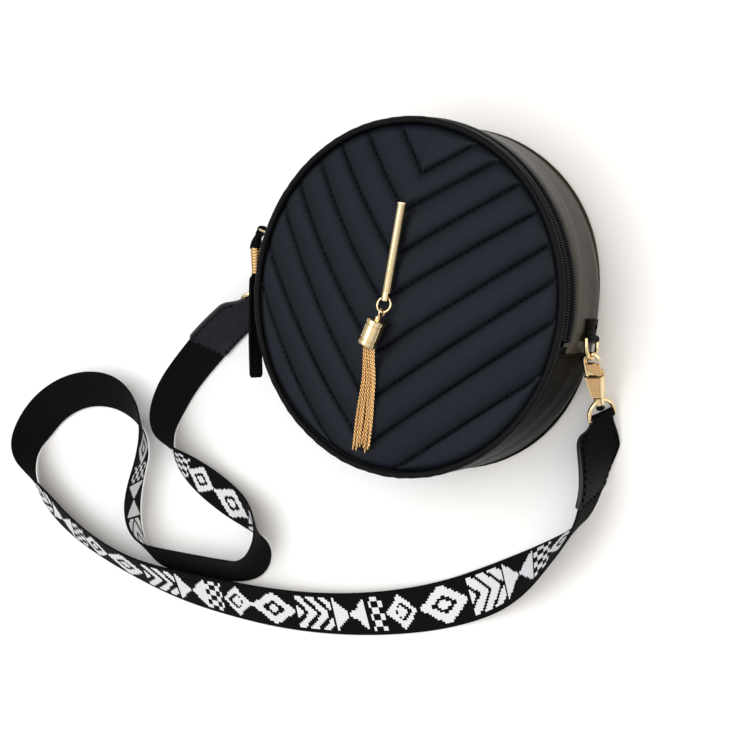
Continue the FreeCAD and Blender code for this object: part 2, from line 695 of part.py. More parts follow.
def side_frame(side):
    """Ring bar, level heading, hook axis, hook plane normal and strap-loop axis at one side."""
    facts = SIDES[side]
    angle = num(cell("ring_angle"))
    if facts["mirror"]:
        angle = 180 - angle
    bar_r = num("Sizes.tab_gap + Sizes.ring_wire + Sizes.ring_fit + Sizes.tab_thickness / 2")
    bar_r += num(LEATHER_OUT)
    bar = Vector(bar_r * math.cos(math.radians(angle)), bar_r * math.sin(math.radians(angle)),
                 num(cell("tab_height")))
    heading = math.radians(facts["heading"])
    level = Vector(math.cos(heading), math.sin(heading), 0)
    slope = math.radians(facts["slope"])
    axis = level * math.cos(slope) + Vector(0, 0, math.sin(slope))
    normal = Vector(0, 0, 1) - axis * axis.z
    normal.normalize()
    lateral = normal.cross(axis)
    lean = math.radians(facts["lean"])
    fold = normal * math.cos(lean) + lateral * math.sin(lean)
    ring_reach = num(f"Sizes.ring_straight + {RING_HALF}")
    bow = bar + level * ring_reach + axis * num(cell("ring_slack"))
    return {"bar": bar, "level": level, "axis": axis, "normal": normal, "lateral": lateral,
            "fold": fold, "bow": bow}


def d_shape(place, half_width, straight, wire):
    """D of round wire: straight bar along local Y, closing half circle towards local +X."""
    def at(x, y, axis):
        spin = Rotation(Vector(0, 0, 1), axis)
        return place.multiply(Placement(Vector(x, y, 0), spin))

    width = num(half_width)
    reach = num(straight)
    lying = Rotation(Vector(-1, 0, 0), 90)
    along = Rotation(Vector(0, 1, 0), 90)
    pieces = [placed("Part::Cylinder", place.multiply(Placement(Vector(0, -width, 0), lying)),
                     Radius=wire, Height=f"2 * {half_width}")]
    for y in (-width, width):
        pieces.append(placed("Part::Sphere", at(0, y, 0), Radius=wire))
        pieces.append(placed("Part::Cylinder", place.multiply(Placement(Vector(0, y, 0), along)),
                             Radius=wire, Height=straight))
    bend = placed("Part::Torus", at(reach, 0, -90), Radius1=half_width, Radius2=wire, Angle3="180")
    return pieces + [bend]


def make_tab_and_ring(side):
    frame = side_frame(side)
    low = "(Sizes.tab_height - Sizes.tab_width / 2)"
    high = "(Sizes.tab_height + Sizes.tab_width / 2)"
    inner = f"({LEATHER_OUT} + Sizes.tab_gap)"
    span = (cell("tab_end_angle"), cell("tab_top_angle"))
    if SIDES[side]["mirror"]:
        span = ("180 - Sizes.tab_top_angle", "180 - Sizes.tab_end_angle")
    flat = wall(inner, f"({inner} + Sizes.tab_thickness)", low, high, *span)
    sleeve_place = Placement(Vector(frame["bar"].x, frame["bar"].y, num(low)), Rotation())
    bore_r = "(Sizes.ring_wire + Sizes.ring_fit)"
    sleeve = placed("Part::Cylinder", sleeve_place, Radius=f"{bore_r} + Sizes.tab_thickness / 2",
                    Height=cell("tab_width"))
    bore = placed("Part::Cylinder", sleeve_place, Radius=bore_r, Height=cell("tab_width"))
    keep(f"ring_tab_{side}", cut(fuse([flat, sleeve]), bore))
    spread = Vector(0, 0, 1)
    turn = Rotation(frame["level"], spread, frame["level"].cross(spread), "XYZ")
    pieces = d_shape(Placement(frame["bar"], turn), RING_HALF,
                     cell("ring_straight"), cell("ring_wire"))
    keep(f"d_ring_{side}", fuse(pieces))
    pivot(f"d_ring_{side}", frame["bar"], spread)


# Distances along the hook's axis, from the middle of its bow
BASE_END = "(Sizes.hook_base_start + Sizes.hook_base_length)"
BARREL_MIDDLE = f"({BASE_END} + Sizes.post_fit + Sizes.barrel_length / 2)"
LOOP_BAR = f"({BARREL_MIDDLE} + Sizes.loop_straight + {LOOP_HALF})"


def make_hook(side):
    frame = side_frame(side)
    turn = Rotation(frame["axis"], frame["lateral"], frame["normal"], "XYZ")

    def at(x, y, z, rotation=Rotation()):
        return Placement(frame["bow"], turn).multiply(Placement(Vector(x, y, z), rotation))

    along = Rotation(Vector(0, 1, 0), 90)
    bow_r = num(cell("bow_radius"))
    base_x = num(cell("hook_base_start"))
    eye_w = num(cell("gate_eye_width"))
    eye_r = num(cell("gate_eye_radius"))
    gap = num(cell("gate_gap"))
    ear = num(cell("ear_thickness"))
    pin_x = base_x - eye_r - gap
    bow = placed("Part::Torus", at(0, 0, 0, Rotation(Vector(0, 0, 1), 90)),
                 Radius1=cell("bow_radius"), Radius2=cell("hook_wire"), Angle3="180")
    spine = placed("Part::Cylinder", at(0, -bow_r, 0, along), Radius=cell("hook_wire"),
                   Height="Sizes.hook_base_start + Sizes.hook_base_length / 2")
    base = placed("Part::Wedge", at(base_x, 0, 0, Rotation(Vector(0, 0, 1), -90)),
                  Xmin="-Sizes.hook_base_width / 2", Xmax="Sizes.hook_base_width / 2",
                  X2min="-Sizes.hook_tip_width / 2", X2max="Sizes.hook_tip_width / 2",
                  Ymin="0", Ymax=cell("hook_base_length"),
                  Zmin="-Sizes.hook_base_thickness / 2", Zmax="Sizes.hook_base_thickness / 2",
                  Z2min="-Sizes.hook_base_thickness / 2", Z2max="Sizes.hook_base_thickness / 2")
    post = placed("Part::Cylinder", at(num(BASE_END), 0, 0, along), Radius=cell("post_radius"),
                  Height="Sizes.post_length + Sizes.post_head_length / 2")
    head = placed("Part::Cylinder", at(num(f"{BASE_END} + Sizes.post_length"), 0, 0, along),
                  Radius=cell("post_head_radius"), Height=cell("post_head_length"))
    pieces = [bow, spine, base, post, head]
    for z in (-eye_w / 2 - gap - ear, eye_w / 2 + gap):
        pieces.append(placed("Part::Box", at(pin_x, bow_r - eye_r, z),
                             Length=f"{base_x} - {pin_x} + {CUT_OVER}", Width="2 * Sizes.gate_eye_radius",
                             Height=cell("ear_thickness")))
        pieces.append(placed("Part::Cylinder", at(pin_x, bow_r, z),
                             Radius=cell("gate_eye_radius"), Height=cell("ear_thickness")))
    pieces.append(placed("Part::Cylinder", at(pin_x, bow_r, -eye_w / 2 - gap - ear),
                         Radius=cell("gate_pin_radius"),
                         Height="Sizes.gate_eye_width + 2 * Sizes.gate_gap + 2 * Sizes.ear_thickness"))
    keep(f"hook_body_{side}", fuse(pieces))
    tip_x = num("Sizes.gate_gap")
    bar = placed("Part::Cylinder", at(tip_x, bow_r, 0, along), Radius=cell("gate_radius"),
                 Height=f"{pin_x} - {tip_x}")
    eye = placed("Part::Cylinder", at(pin_x, bow_r, -eye_w / 2), Radius=cell("gate_eye_radius"),
                 Height=cell("gate_eye_width"))
    bore = placed("Part::Cylinder", at(pin_x, bow_r, -eye_w / 2),
                  Radius="Sizes.gate_pin_radius + Sizes.ring_fit", Height=cell("gate_eye_width"))
    keep(f"hook_gate_{side}", cut(fuse([bar, eye]), bore))
    pivot(f"gate_{side}", at(pin_x, bow_r, 0).Base, frame["normal"])
    pivot(f"hook_{side}", frame["bow"], frame["axis"])


def loop_frame(side):
    frame = side_frame(side)
    frame["loop_bar"] = frame["bow"] + frame["axis"] * num(LOOP_BAR)
    return frame


def make_loop(side):
    frame = loop_frame(side)
    towards_hook = frame["axis"] * -1
    turn = Rotation(towards_hook, frame["fold"], towards_hook.cross(frame["fold"]), "XYZ")
    place = Placement(frame["loop_bar"], turn)
    pieces = d_shape(place, LOOP_HALF, cell("loop_straight"), cell("loop_wire"))
    upright = Rotation(Vector(0, 1, 0), 90)
    reach = num(f"Sizes.loop_straight + {LOOP_HALF} - Sizes.barrel_length / 2")
    barrel_place = place.multiply(Placement(Vector(reach, 0, 0), upright))
    bore_r = "(Sizes.post_radius + Sizes.post_fit)"
    barrel = placed("Part::Cylinder", barrel_place, Radius=f"{bore_r} + Sizes.barrel_wall",
                    Height=cell("barrel_length"))
    bore = placed("Part::Cylinder", barrel_place, Radius=bore_r, Height=cell("barrel_length"))
    keep(f"strap_loop_{side}", cut(fuse(pieces + [barrel]), bore))


# Route of the strap's middle line seen from above, with how far its upper edge leans from
# upright: positive to the left of the way along, which turns the patterned face up.
ROUTE = [
    (-172, -66, -34), (-184, -83, -32), (-195, -102, -28), (-200, -122, -14), (-198, -139, 20),
    (-186, -152, 52), (-166, -161, 70), (-143, -168, 72), (-121, -173, 60), (-106, -181, 34),
    (-101, -194, 0), (-108, -207, -28), (-124, -214, -40), (-148, -219, -44), (-174, -223, -44),
    (-197, -225, -40), (-212, -214, -26), (-219, -196, -20), (-219, -176, -20), (-216, -156, -23),
    (-221, -138, -38), (-235, -125, -55), (-257, -119, -65), (-281, -122, -63), (-302, -132, -55),
    (-319, -148, -45), (-329, -168, -30), (-331, -188, 15), (-321, -206, 45), (-302, -219, 55),
    (-276, -229, 52), (-244, -236, 47), (-208, -240, 47), (-170, -240, 58), (-128, -236, 68),
    (-86, -230, 73), (-44, -220, 75), (-3, -206, 78), (34, -189, 86), (63, -170, 102),
    (85, -151, 126), (102, -132, 150), (114, -116, 166), (120, -103, 176), (121, -90, 180),
]


CORNER_SHARE = 0.45  # share of a run that the rounding of its corner takes
ARC_STEPS = 3


def corner_arcs(points):
    """Tangent points and radius of the arc that rounds each inner point of the route."""
    arcs = []
    for before, corner, after in zip(points, points[1:], points[2:]):
        into = corner - before
        out = after - corner
        turn = into.getAngle(out)
        tangent = CORNER_SHARE * min(into.Length, out.Length)
        arcs.append((corner - into.normalize() * tangent, corner + out.normalize() * tangent,
                     tangent / math.tan(turn / 2), turn))
    return arcs


def strap_stations():
    """Points along the runs and arcs of the route, with heading and lean at each."""
    points = [Vector(x, y, 0) for x, y, lean in ROUTE]
    leans = [lean for x, y, lean in ROUTE]
    first = (points[1] - points[0]).normalize()
    stations = [(points[0], first, leans[0])]
    length = 0.0
    last = points[0]
    radii = []
    for index, (start, end, radius, turn) in enumerate(corner_arcs(points), start=1):
        corner = points[index]
        heading = (corner - start).normalize()
        leaving = (end - corner).normalize()
        side = 1 if heading.cross(leaving).z > 0 else -1
        centre = start + Vector(-heading.y, heading.x, 0) * radius * side
        before = leans[index] + CORNER_SHARE * (leans[index - 1] - leans[index])
        after = leans[index] + CORNER_SHARE * (leans[index + 1] - leans[index])
        for step in range(ARC_STEPS + 1):
            share = step / ARC_STEPS
            spin = Rotation(Vector(0, 0, 1), math.degrees(turn) * share * side)
            place = centre + spin.multVec(start - centre)
            stations.append((place, spin.multVec(heading), before + (after - before) * share))
        length += (start - last).Length + radius * turn
        last = end
        radii.append(round(radius, 1))
    length += (points[-1] - last).Length
    final = (points[-1] - points[-2]).normalize()
    stations.append((points[-1], final, leans[-1]))
    print("strap radii", radii, "length", round(length, 1))
    return stations, length


def strap_section(station, width, thickness):
    """Centre, across and outward directions of the strap's section standing on the floor."""
    place, heading, lean = station
    tilt = math.radians(lean)
    left = Vector(-heading.y, heading.x, 0)
    across = left * math.sin(tilt) + Vector(0, 0, math.cos(tilt))
    outward = heading.cross(across)
    rise = width / 2 * abs(math.cos(tilt)) + thickness / 2 * abs(math.sin(tilt))
    centre = place + Vector(0, 0, rise + num(cell("strap_floor_gap")))
    return centre, across, outward


def section_wire(centre, across, outward, width, thickness):
    corners = []
    for side, face in ((1, 1), (1, -1), (-1, -1), (-1, 1)):
        corners.append(centre + across * (side * width / 2) + outward * (face * thickness / 2))
    return Part.makePolygon(corners + corners[:1])


def make_strap():
    width = num(cell("strap_width"))
    thickness = num(cell("strap_thickness"))
    stations, length = strap_stations()
    sections = [strap_section(station, width, thickness) for station in stations]
    wires = [section_wire(*section, width, thickness) for section in sections]
    webbing = Part.makeLoft(wires, True, True)
    print("strap volume over section times length:",
          round(webbing.Volume / (width * thickness * length), 4))
    solid("strap_webbing", webbing)
    return sections[0], sections[-1], stations[0][1], stations[-1][1]


# Leather ends: an eye round the loop's bar, a neck and a flat part that takes the webbing
def make_strap_end(side, section, heading):
    frame = loop_frame(side)
    centre, across, outward = section
    eye_r = num(cell("end_eye_radius"))
    neck_w = num(cell("end_neck_width"))
    end_w = num(cell("end_width"))
    end_t = num(cell("end_thickness"))
    bar = frame["loop_bar"]
    fold = frame["fold"]
    away = (centre - bar).normalize()
    flat = away.cross(fold).normalize()
    fold_square = flat.cross(away)
    flush = centre + across * math.copysign((end_w - num(cell("strap_width"))) / 2, across.z)
    wide_at = flush - heading * (end_w / 2)
    wires = [
        section_wire(bar + away * num(cell("loop_wire")), fold_square, flat, neck_w,
                     num(cell("end_neck_thickness"))),
        section_wire(wide_at, across, outward, end_w, end_t),
        section_wire(flush, across, outward, end_w, end_t),
    ]
    leaf = Part.makeLoft(wires, True, True)
    eye = Part.makeCylinder(eye_r, neck_w, bar - fold * (neck_w / 2), fold)
    bore_r = num("Sizes.loop_wire + Sizes.ring_fit")
    bore = Part.makeCylinder(bore_r, 2 * neck_w, bar - fold * neck_w, fold)
    solid(f"strap_end_{side}", leaf.fuse(eye).cut(bore))


make_back()
make_gusset()
make_zip()
make_front()
make_bar()
make_tassel()
make_slider()
for side_name in SIDES:
    make_tab_and_ring(side_name)
    make_hook(side_name)
    make_loop(side_name)
left_section, right_section, left_heading, right_heading = make_strap()
make_strap_end("left", left_section, left_heading)
make_strap_end("right", right_section, right_heading * -1)

doc.recompute()
for obj in doc.Objects:
    if "Invalid" in obj.State or "Error" in obj.State:
        raise RuntimeError(f"{obj.Label} failed: {obj.State}")
for obj in NODES:
    if obj.Shape.isNull() or not obj.Shape.isValid():
        raise RuntimeError(f"{obj.Label} has no valid shape")

os.makedirs("parts", exist_ok=True)
for obj in NODES:
    obj.Shape.exportStep(f"parts/{obj.Label}.step")
    box = obj.Shape.BoundBox
    print(f"{obj.Label}: {len(obj.Shape.Solids)} solids, {obj.Shape.Volume:.1f} mm3,"
          f" z {box.ZMin:.2f} to {box.ZMax:.2f}")
print(len(NODES), "nodes")
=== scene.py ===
import json
import math
import random

import bmesh
import bpy
import numpy as np
from mathutils import Matrix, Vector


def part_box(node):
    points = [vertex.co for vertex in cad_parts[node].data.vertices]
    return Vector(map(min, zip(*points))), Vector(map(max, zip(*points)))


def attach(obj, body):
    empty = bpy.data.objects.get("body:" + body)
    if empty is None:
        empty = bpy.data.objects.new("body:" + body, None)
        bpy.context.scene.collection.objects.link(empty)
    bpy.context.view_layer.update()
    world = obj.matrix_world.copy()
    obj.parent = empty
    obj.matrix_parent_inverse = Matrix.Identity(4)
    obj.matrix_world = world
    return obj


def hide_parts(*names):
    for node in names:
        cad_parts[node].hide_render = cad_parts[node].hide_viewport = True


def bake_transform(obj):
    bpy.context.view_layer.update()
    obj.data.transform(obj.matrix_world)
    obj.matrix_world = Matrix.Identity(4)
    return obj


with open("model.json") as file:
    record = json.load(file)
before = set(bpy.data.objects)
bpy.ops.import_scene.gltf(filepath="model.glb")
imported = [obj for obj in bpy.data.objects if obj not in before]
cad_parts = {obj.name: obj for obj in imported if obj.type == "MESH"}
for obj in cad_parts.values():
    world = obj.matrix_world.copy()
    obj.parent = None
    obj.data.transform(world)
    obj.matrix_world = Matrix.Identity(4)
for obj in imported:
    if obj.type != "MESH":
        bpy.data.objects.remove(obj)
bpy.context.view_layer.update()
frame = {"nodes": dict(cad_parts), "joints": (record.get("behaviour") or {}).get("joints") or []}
scene = bpy.context.scene
scene.view_settings.view_transform = "Standard"
draw = random.Random(11)
JOINTS = {joint["name"]: joint for joint in frame["joints"]}
MM = 0.001
UP = np.array([0.0, 0.0, 1.0])
SIDES = ("left", "right")


def joint_place(name):
    return np.array(JOINTS[name]["pos_m"]) / MM


# Camera at the photograph's place
CAMERA_PLACE = (0.39076, 0.0696, 0.71583)
CAMERA_RIGHT = (0.8244, 0.1670, -0.5408)
CAMERA_UP = (-0.2188, 0.9752, -0.0324)
CAMERA_BACK = (0.5220, 0.1450, 0.8405)
CAMERA_LENS = 64.8
camera_data = bpy.data.cameras.new("camera")
camera_data.lens = CAMERA_LENS
camera = bpy.data.objects.new("camera", camera_data)
scene.collection.objects.link(camera)
camera.matrix_world = Matrix((CAMERA_RIGHT, CAMERA_UP, CAMERA_BACK)).transposed().to_4x4()
camera.location = CAMERA_PLACE
scene.camera = camera


# Materials
def shader(name, color, roughness, metallic=0.0, gloss=0.5, tint=(1.0, 1.0, 1.0)):
    material = bpy.data.materials.new(name)
    material.use_nodes = True
    tree = material.node_tree
    surface = tree.nodes["Principled BSDF"]
    values = {"Base Color": (*color, 1.0), "Roughness": roughness, "Metallic": metallic,
              "Specular IOR Level": gloss, "Specular Tint": (*tint, 1.0)}
    for socket, value in values.items():
        surface.inputs[socket].default_value = value
    return material, tree, surface


def node(tree, kind, **values):
    """New node with its settings and inputs; an input from another node's output is linked."""
    made = tree.nodes.new(kind)
    for key, value in values.items():
        if key not in made.inputs:
            setattr(made, key, value)
        elif isinstance(value, bpy.types.NodeSocket):
            tree.links.new(value, made.inputs[key])
        else:
            made.inputs[key].default_value = value
    return made


def mixed(tree, factor, first, second):
    mix = node(tree, "ShaderNodeMix", data_type="RGBA")
    tree.links.new(factor, mix.inputs[0])
    mix.inputs[6].default_value = (*first, 1.0)
    mix.inputs[7].default_value = (*second, 1.0)
    return mix.outputs[2]


def ranged(tree, value, low, high, start=0.0, end=1.0):
    """A value that runs from start to end, mapped to run from low to high."""
    limits = {"Value": value, "From Min": start, "From Max": end, "To Min": low, "To Max": high}
    return node(tree, "ShaderNodeMapRange", **limits).outputs["Result"]


def bumped(tree, surface, height, strength, depth):
    bump = node(tree, "ShaderNodeBump", Height=height, Strength=strength, Distance=depth)
    tree.links.new(bump.outputs["Normal"], surface.inputs["Normal"])


def leather(name, dark, light, rough, grain, depth, **shine):
    """Grained leather: cells per metre in grain, bump depth in metres."""
    material, tree, surface = shader(name, dark, rough[0], **shine)
    place = node(tree, "ShaderNodeTexCoord").outputs["Object"]
    patch = node(tree, "ShaderNodeTexNoise", Vector=place, Scale=38.0, Detail=4.0)
    cells = node(tree, "ShaderNodeTexVoronoi", Vector=place, Scale=grain, feature="DISTANCE_TO_EDGE")
    fine = node(tree, "ShaderNodeTexNoise", Vector=place, Scale=grain * 2.2, Detail=3.0)
    tree.links.new(mixed(tree, patch.outputs["Fac"], dark, light), surface.inputs["Base Color"])
    tree.links.new(ranged(tree, fine.outputs["Fac"], *rough), surface.inputs["Roughness"])
    total = node(tree, "ShaderNodeMath", operation="ADD")
    tree.links.new(ranged(tree, cells.outputs["Distance"], 0.0, 3.0), total.inputs[0])
    tree.links.new(ranged(tree, fine.outputs["Fac"], 0.0, 0.5), total.inputs[1])
    bumped(tree, surface, total.outputs[0], 0.6, depth)
    return material


def metal(name, color, worn, rough):
    material, tree, surface = shader(name, color, rough[0], metallic=1.0)
    place = node(tree, "ShaderNodeTexCoord").outputs["Object"]
    cloud = node(tree, "ShaderNodeTexNoise", Vector=place, Scale=240.0, Detail=3.0)
    brush = node(tree, "ShaderNodeTexNoise", Vector=place, Scale=2600.0, Detail=2.0)
    tree.links.new(mixed(tree, cloud.outputs["Fac"], color, worn), surface.inputs["Base Color"])
    tree.links.new(ranged(tree, cloud.outputs["Fac"], *rough), surface.inputs["Roughness"])
    bumped(tree, surface, brush.outputs["Fac"], 0.12, 0.00002)
    return material


WAVE_PERIOD = 2 * math.pi / 20  # period of a wave texture of scale 1


def woven(name, thread, gap, pitch, depth, rough, **shine):
    """Woven yarn in the piece's texture coordinates, which are in millimetres."""
    material, tree, surface = shader(name, thread, rough, **shine)
    place = node(tree, "ShaderNodeTexCoord").outputs["UV"]
    warp = node(tree, "ShaderNodeTexWave", Vector=place, bands_direction="Y", Scale=WAVE_PERIOD / pitch[1])
    weft = node(tree, "ShaderNodeTexWave", Vector=place, bands_direction="X", Scale=WAVE_PERIOD / pitch[0])
    speck = node(tree, "ShaderNodeTexNoise", Vector=place, Scale=1.6, Detail=3.0)
    cross = node(tree, "ShaderNodeMath", operation="MULTIPLY")
    tree.links.new(warp.outputs["Fac"], cross.inputs[0])
    tree.links.new(weft.outputs["Fac"], cross.inputs[1])
    worn = node(tree, "ShaderNodeMath", operation="MULTIPLY_ADD")
    tree.links.new(speck.outputs["Fac"], worn.inputs[0])
    worn.inputs[1].default_value = 0.5
    tree.links.new(cross.outputs[0], worn.inputs[2])
    tree.links.new(mixed(tree, worn.outputs[0], gap, thread), surface.inputs["Base Color"])
    bumped(tree, surface, cross.outputs[0], 0.7, depth)
    return material


QUILT = leather("quilt_leather", (0.0038, 0.0048, 0.0078), (0.0068, 0.0084, 0.0126), (0.34, 0.46), 1150.0,
                0.0001, gloss=0.15, tint=(0.76, 0.87, 1.0))
# Gusset leather with a painted warm sheen: its brown base colour and warm specular tint paint in the warm
# light on the upper side.
SHEEN_PAINTED_SIDE = leather("sheen_painted_side_leather", (0.0115, 0.0096, 0.006), (0.016, 0.0134, 0.0086), (0.32, 0.42), 900.0,
               0.00004, gloss=0.24, tint=(1.0, 0.87, 0.60))
# The same gusset leather, darkened and with its reflection nearly taken away, as painted shade for the
# parts that face down.
SHADE_PAINTED_LEATHER = leather("shade_painted_leather", (0.0034, 0.0031, 0.0026), (0.0062, 0.0056, 0.0046), (0.30, 0.40), 900.0,
                 0.00004, gloss=0.015)
PIPING = leather("piping_leather", (0.0036, 0.0037, 0.0042), (0.0064, 0.0065, 0.0071), (0.36, 0.48), 1000.0,
                 0.00005, gloss=0.06)
GRAIN = leather("strap_leather", (0.0016, 0.0016, 0.0019), (0.0034, 0.0034, 0.004), (0.36, 0.46), 700.0,
                0.0003, gloss=0.035)
# Lighter, bluer copy of the strap leather: painted light for the lit left end.
LIT_GRAIN = leather("light_painted_strap_leather", (0.005, 0.0056, 0.008), (0.019, 0.0205, 0.028), (0.32, 0.44),
                     620.0, 0.00045, gloss=0.14)
EDGE = leather("edge_paint", (0.014, 0.014, 0.0145), (0.022, 0.022, 0.023), (0.40, 0.50), 500.0,
               0.00004, gloss=0.30)
GOLD = metal("gold_plate", (0.82, 0.62, 0.33), (0.92, 0.75, 0.46), (0.06, 0.15))
BRASS = metal("dark_gold", (0.66, 0.40, 0.17), (0.78, 0.52, 0.26), (0.20, 0.30))
CHAIN = metal("chain_gold", (0.74, 0.45, 0.18), (0.86, 0.58, 0.28), (0.12, 0.22))
TAPE = woven("zip_tape", (0.006, 0.006, 0.007), (0.002, 0.002, 0.002), (0.9, 0.9), 0.0001, 0.75, gloss=0.1)
LINING = woven("lining_cloth", (0.030, 0.028, 0.027), (0.012, 0.011, 0.011), (0.8, 0.8), 0.00008, 0.62)
BLACK_YARN = woven("black_yarn", (0.0045, 0.0045, 0.005), (0.001, 0.001, 0.001), (0.75, 1.1), 0.0002, 0.80,
                   gloss=0.08)
WHITE_YARN = woven("white_yarn", (0.90, 0.91, 0.93), (0.56, 0.57, 0.60), (0.75, 1.1), 0.0002, 0.70,
                   gloss=0.2)
NYLON, _, _ = shader("zip_nylon", (0.003, 0.003, 0.004), 0.26, gloss=0.14)
THREAD, _, _ = shader("thread", (0.0006, 0.0006, 0.0009), 0.80, gloss=0.02)


# Mesh building in millimetres
class Shape:
    """Mesh in the making; a face's kind is the number of its material."""
    def __init__(self):
        self.verts, self.faces, self.kinds, self.coords = [], [], [], []

    def add(self, verts, faces, kind, coords):
        base = len(self.verts)
        self.verts += [tuple(v) for v in verts]
        self.faces += [tuple(base + i for i in face) for face in faces]
        self.kinds += kind if isinstance(kind, list) else [kind] * len(faces)
        self.coords += [tuple(c) for c in coords]

    def build(self, name, materials, sharp=40.0):
        mesh = bpy.data.meshes.new(name)
        mesh.from_pydata([(x * MM, y * MM, z * MM) for x, y, z in self.verts], [], self.faces)
        for material in materials:
            mesh.materials.append(material)
        mesh.polygons.foreach_set("material_index", self.kinds)
        mesh.polygons.foreach_set("use_smooth", [True] * len(self.faces))
        index = np.zeros(len(mesh.loops), np.int32)
        mesh.loops.foreach_get("vertex_index", index)
        coords = np.array(self.coords, np.float32)[index]
        mesh.uv_layers.new(name="UVMap").data.foreach_set("uv", coords.ravel())
        work = bmesh.new()
        work.from_mesh(mesh)
        bmesh.ops.recalc_face_normals(work, faces=work.faces)
        work.to_mesh(mesh)
        work.free()
        mesh.set_sharp_from_angle(angle=math.radians(sharp))
        obj = bpy.data.objects.new(name, mesh)
        scene.collection.objects.link(obj)
        return obj


def unit(vector):
    vector = np.asarray(vector, float)
    return vector / np.linalg.norm(vector, axis=-1, keepdims=True)


def smooth(value):
    value = np.clip(value, 0.0, 1.0)
    return value * value * (3 - 2 * value)


def grid_faces(rows, cols, wrap_rows=False, wrap_cols=True):
    faces = []
    for r in range(rows if wrap_rows else rows - 1):
        for c in range(cols if wrap_cols else cols - 1):
            d = (c + 1) % cols
            s = (r + 1) % rows
            faces.append((r * cols + c, r * cols + d, s * cols + d, s * cols + c))
    return faces


def carry(path, closed=False, up=UP):
    """Directions along a path: forward, sideways and outward, without twist."""
    if closed:
        forward = unit(np.roll(path, -1, 0) - np.roll(path, 1, 0))
    else:
        forward = unit(np.gradient(path, axis=0))
    side = np.cross(up, forward[0])
    if np.linalg.norm(side) < 0.1:
        side = np.cross((1, 0, 0), forward[0])
    sides = []
    for way in forward:
        side = unit(side - way * np.dot(side, way))
        sides.append(side)
    sides = np.array(sides)
    return forward, sides, np.cross(forward, sides)


def polar(radius, turn, height=0.0):
    """Points round an axis at angles in radians."""
    return np.stack(np.broadcast_arrays(radius * np.cos(turn), radius * np.sin(turn), height), -1)


def mirrored(half):
    """Whole outline from the half of it on one side of the first axis."""
    return half + [(x, -y) for x, y in half[::-1]]


def lengths(path):
    return np.concatenate([[0.0], np.cumsum(np.linalg.norm(np.diff(path, axis=0), axis=1))])


def points_at(path, run, spots):
    """Points of a path at distances along it."""
    return np.stack([np.interp(spots, run, column) for column in path.T], 1)


def end_faces(rows, cols):
    return [tuple(range(cols))[::-1], tuple(range((rows - 1) * cols, rows * cols))]


def loft(shape, sections, closed=False, kind=0):
    """Skin through closed sections, an array of sections by points by three."""
    sections = np.asarray(sections, float)
    rows, cols = sections.shape[:2]
    faces = grid_faces(rows, cols, closed)
    if not closed:
        faces += end_faces(rows, cols)
    along = lengths(sections.mean(axis=1))
    around = lengths(sections[rows // 2])
    coords = [(a, b) for a in along for b in around]
    shape.add(sections.reshape(-1, 3), faces, kind, coords)


def swept(path, ring, side, out):
    """Sections along a path: a flat ring drawn in two directions, whose lengths scale it."""
    return path[:, None] + ring[None, :, :1] * side[:, None] + ring[None, :, 1:] * out[:, None]


def round_section(count):
    turn = np.linspace(0, 2 * math.pi, count, endpoint=False)
    return np.stack([np.cos(turn), np.sin(turn)], 1)


def tube(shape, path, radius, around, closed=False, kind=0, up=UP):
    path = np.asarray(path, float)
    _, side, out = carry(path, closed, up)
    radius = np.broadcast_to(radius, len(path))[:, None]
    loft(shape, swept(path, round_section(around), radius * side, radius * out), closed, kind)


def strap_section(count, power):
    """Square section with rounded corners, for a strap to scale."""
    ring = round_section(count)
    return np.sign(ring) * np.abs(ring) ** (2 / power)


AXIS_RADIUS = 0.01  # a turned piece has a tiny ring where its profile is on the axis


def turned(shape, origin, axis, profile, around, kind=0):
    """Round piece: profile of (radius, distance along the axis)."""
    axis = unit(axis)
    side = unit(np.cross(axis, UP if abs(axis[2]) < 0.9 else (1, 0, 0)))
    radius, along = np.array(profile, float).T[..., None]
    radius = np.maximum(radius, AXIS_RADIUS)
    path = origin + axis * along
    loft(shape, swept(path, round_section(around), radius * side, radius * np.cross(axis, side)), kind=kind)


def band(shape, angles, profiles, closed=False):
    """Round wall about the bag's axis: closed profiles of (radius, height) at angles in degrees."""
    profiles = np.asarray(profiles, float)
    loft(shape, polar(profiles[..., 0], np.radians(angles)[:, None], profiles[..., 1]), closed)


STITCH = 3.1
STITCH_PITCH = 4.2
STITCH_SPOTS = np.array([0.0, 0.15, 0.5, 0.85, 1.0])
STITCH_RISE = np.array([-0.30, 0.12, 0.20, 0.12, -0.30])
STITCH_THICK = np.array([0.5, 1.0, 1.0, 1.0, 0.5])
FINE_STITCH = 0.24


def stitches(shape, path, normals, radius, kind=0, start=1.0):
    """Row of sewn stitches lying on a path, whose normals point out of the surface."""
    normals = np.broadcast_to(normals, path.shape)
    run = lengths(path)
    at = start
    while at + STITCH < run[-1]:
        spots = at + STITCH_SPOTS * STITCH
        lifts = unit(points_at(normals, run, spots))
        points = points_at(path, run, spots) + lifts * STITCH_RISE[:, None]
        tube(shape, points, STITCH_THICK * radius, 6, kind=kind, up=lifts[2])
        at += STITCH_PITCH


class Ripple:
    """Smooth wandering value, the same on every run."""
    def __init__(self, waves, low, high):
        self.parts = [(draw.uniform(low, high), draw.uniform(0, 2 * math.pi)) for _ in range(waves)]

    def __call__(self, value):
        return sum(np.sin(rate * value + phase) for rate, phase in self.parts) / math.sqrt(len(self.parts))


def finish(obj, body, slot, *nodes):
    """Set a piece's body, if it is given one, and hide the solids that it replaces; its slot is not used.
    """
    if body:
        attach(obj, body)
    if nodes:
        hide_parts(*nodes)
    return obj


def folding(obj, slot, *nodes):
    """A piece of the front, where the upper half folds; its transform is baked in and it gets no body."""
    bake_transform(obj)
    finish(obj, None, slot, *nodes)


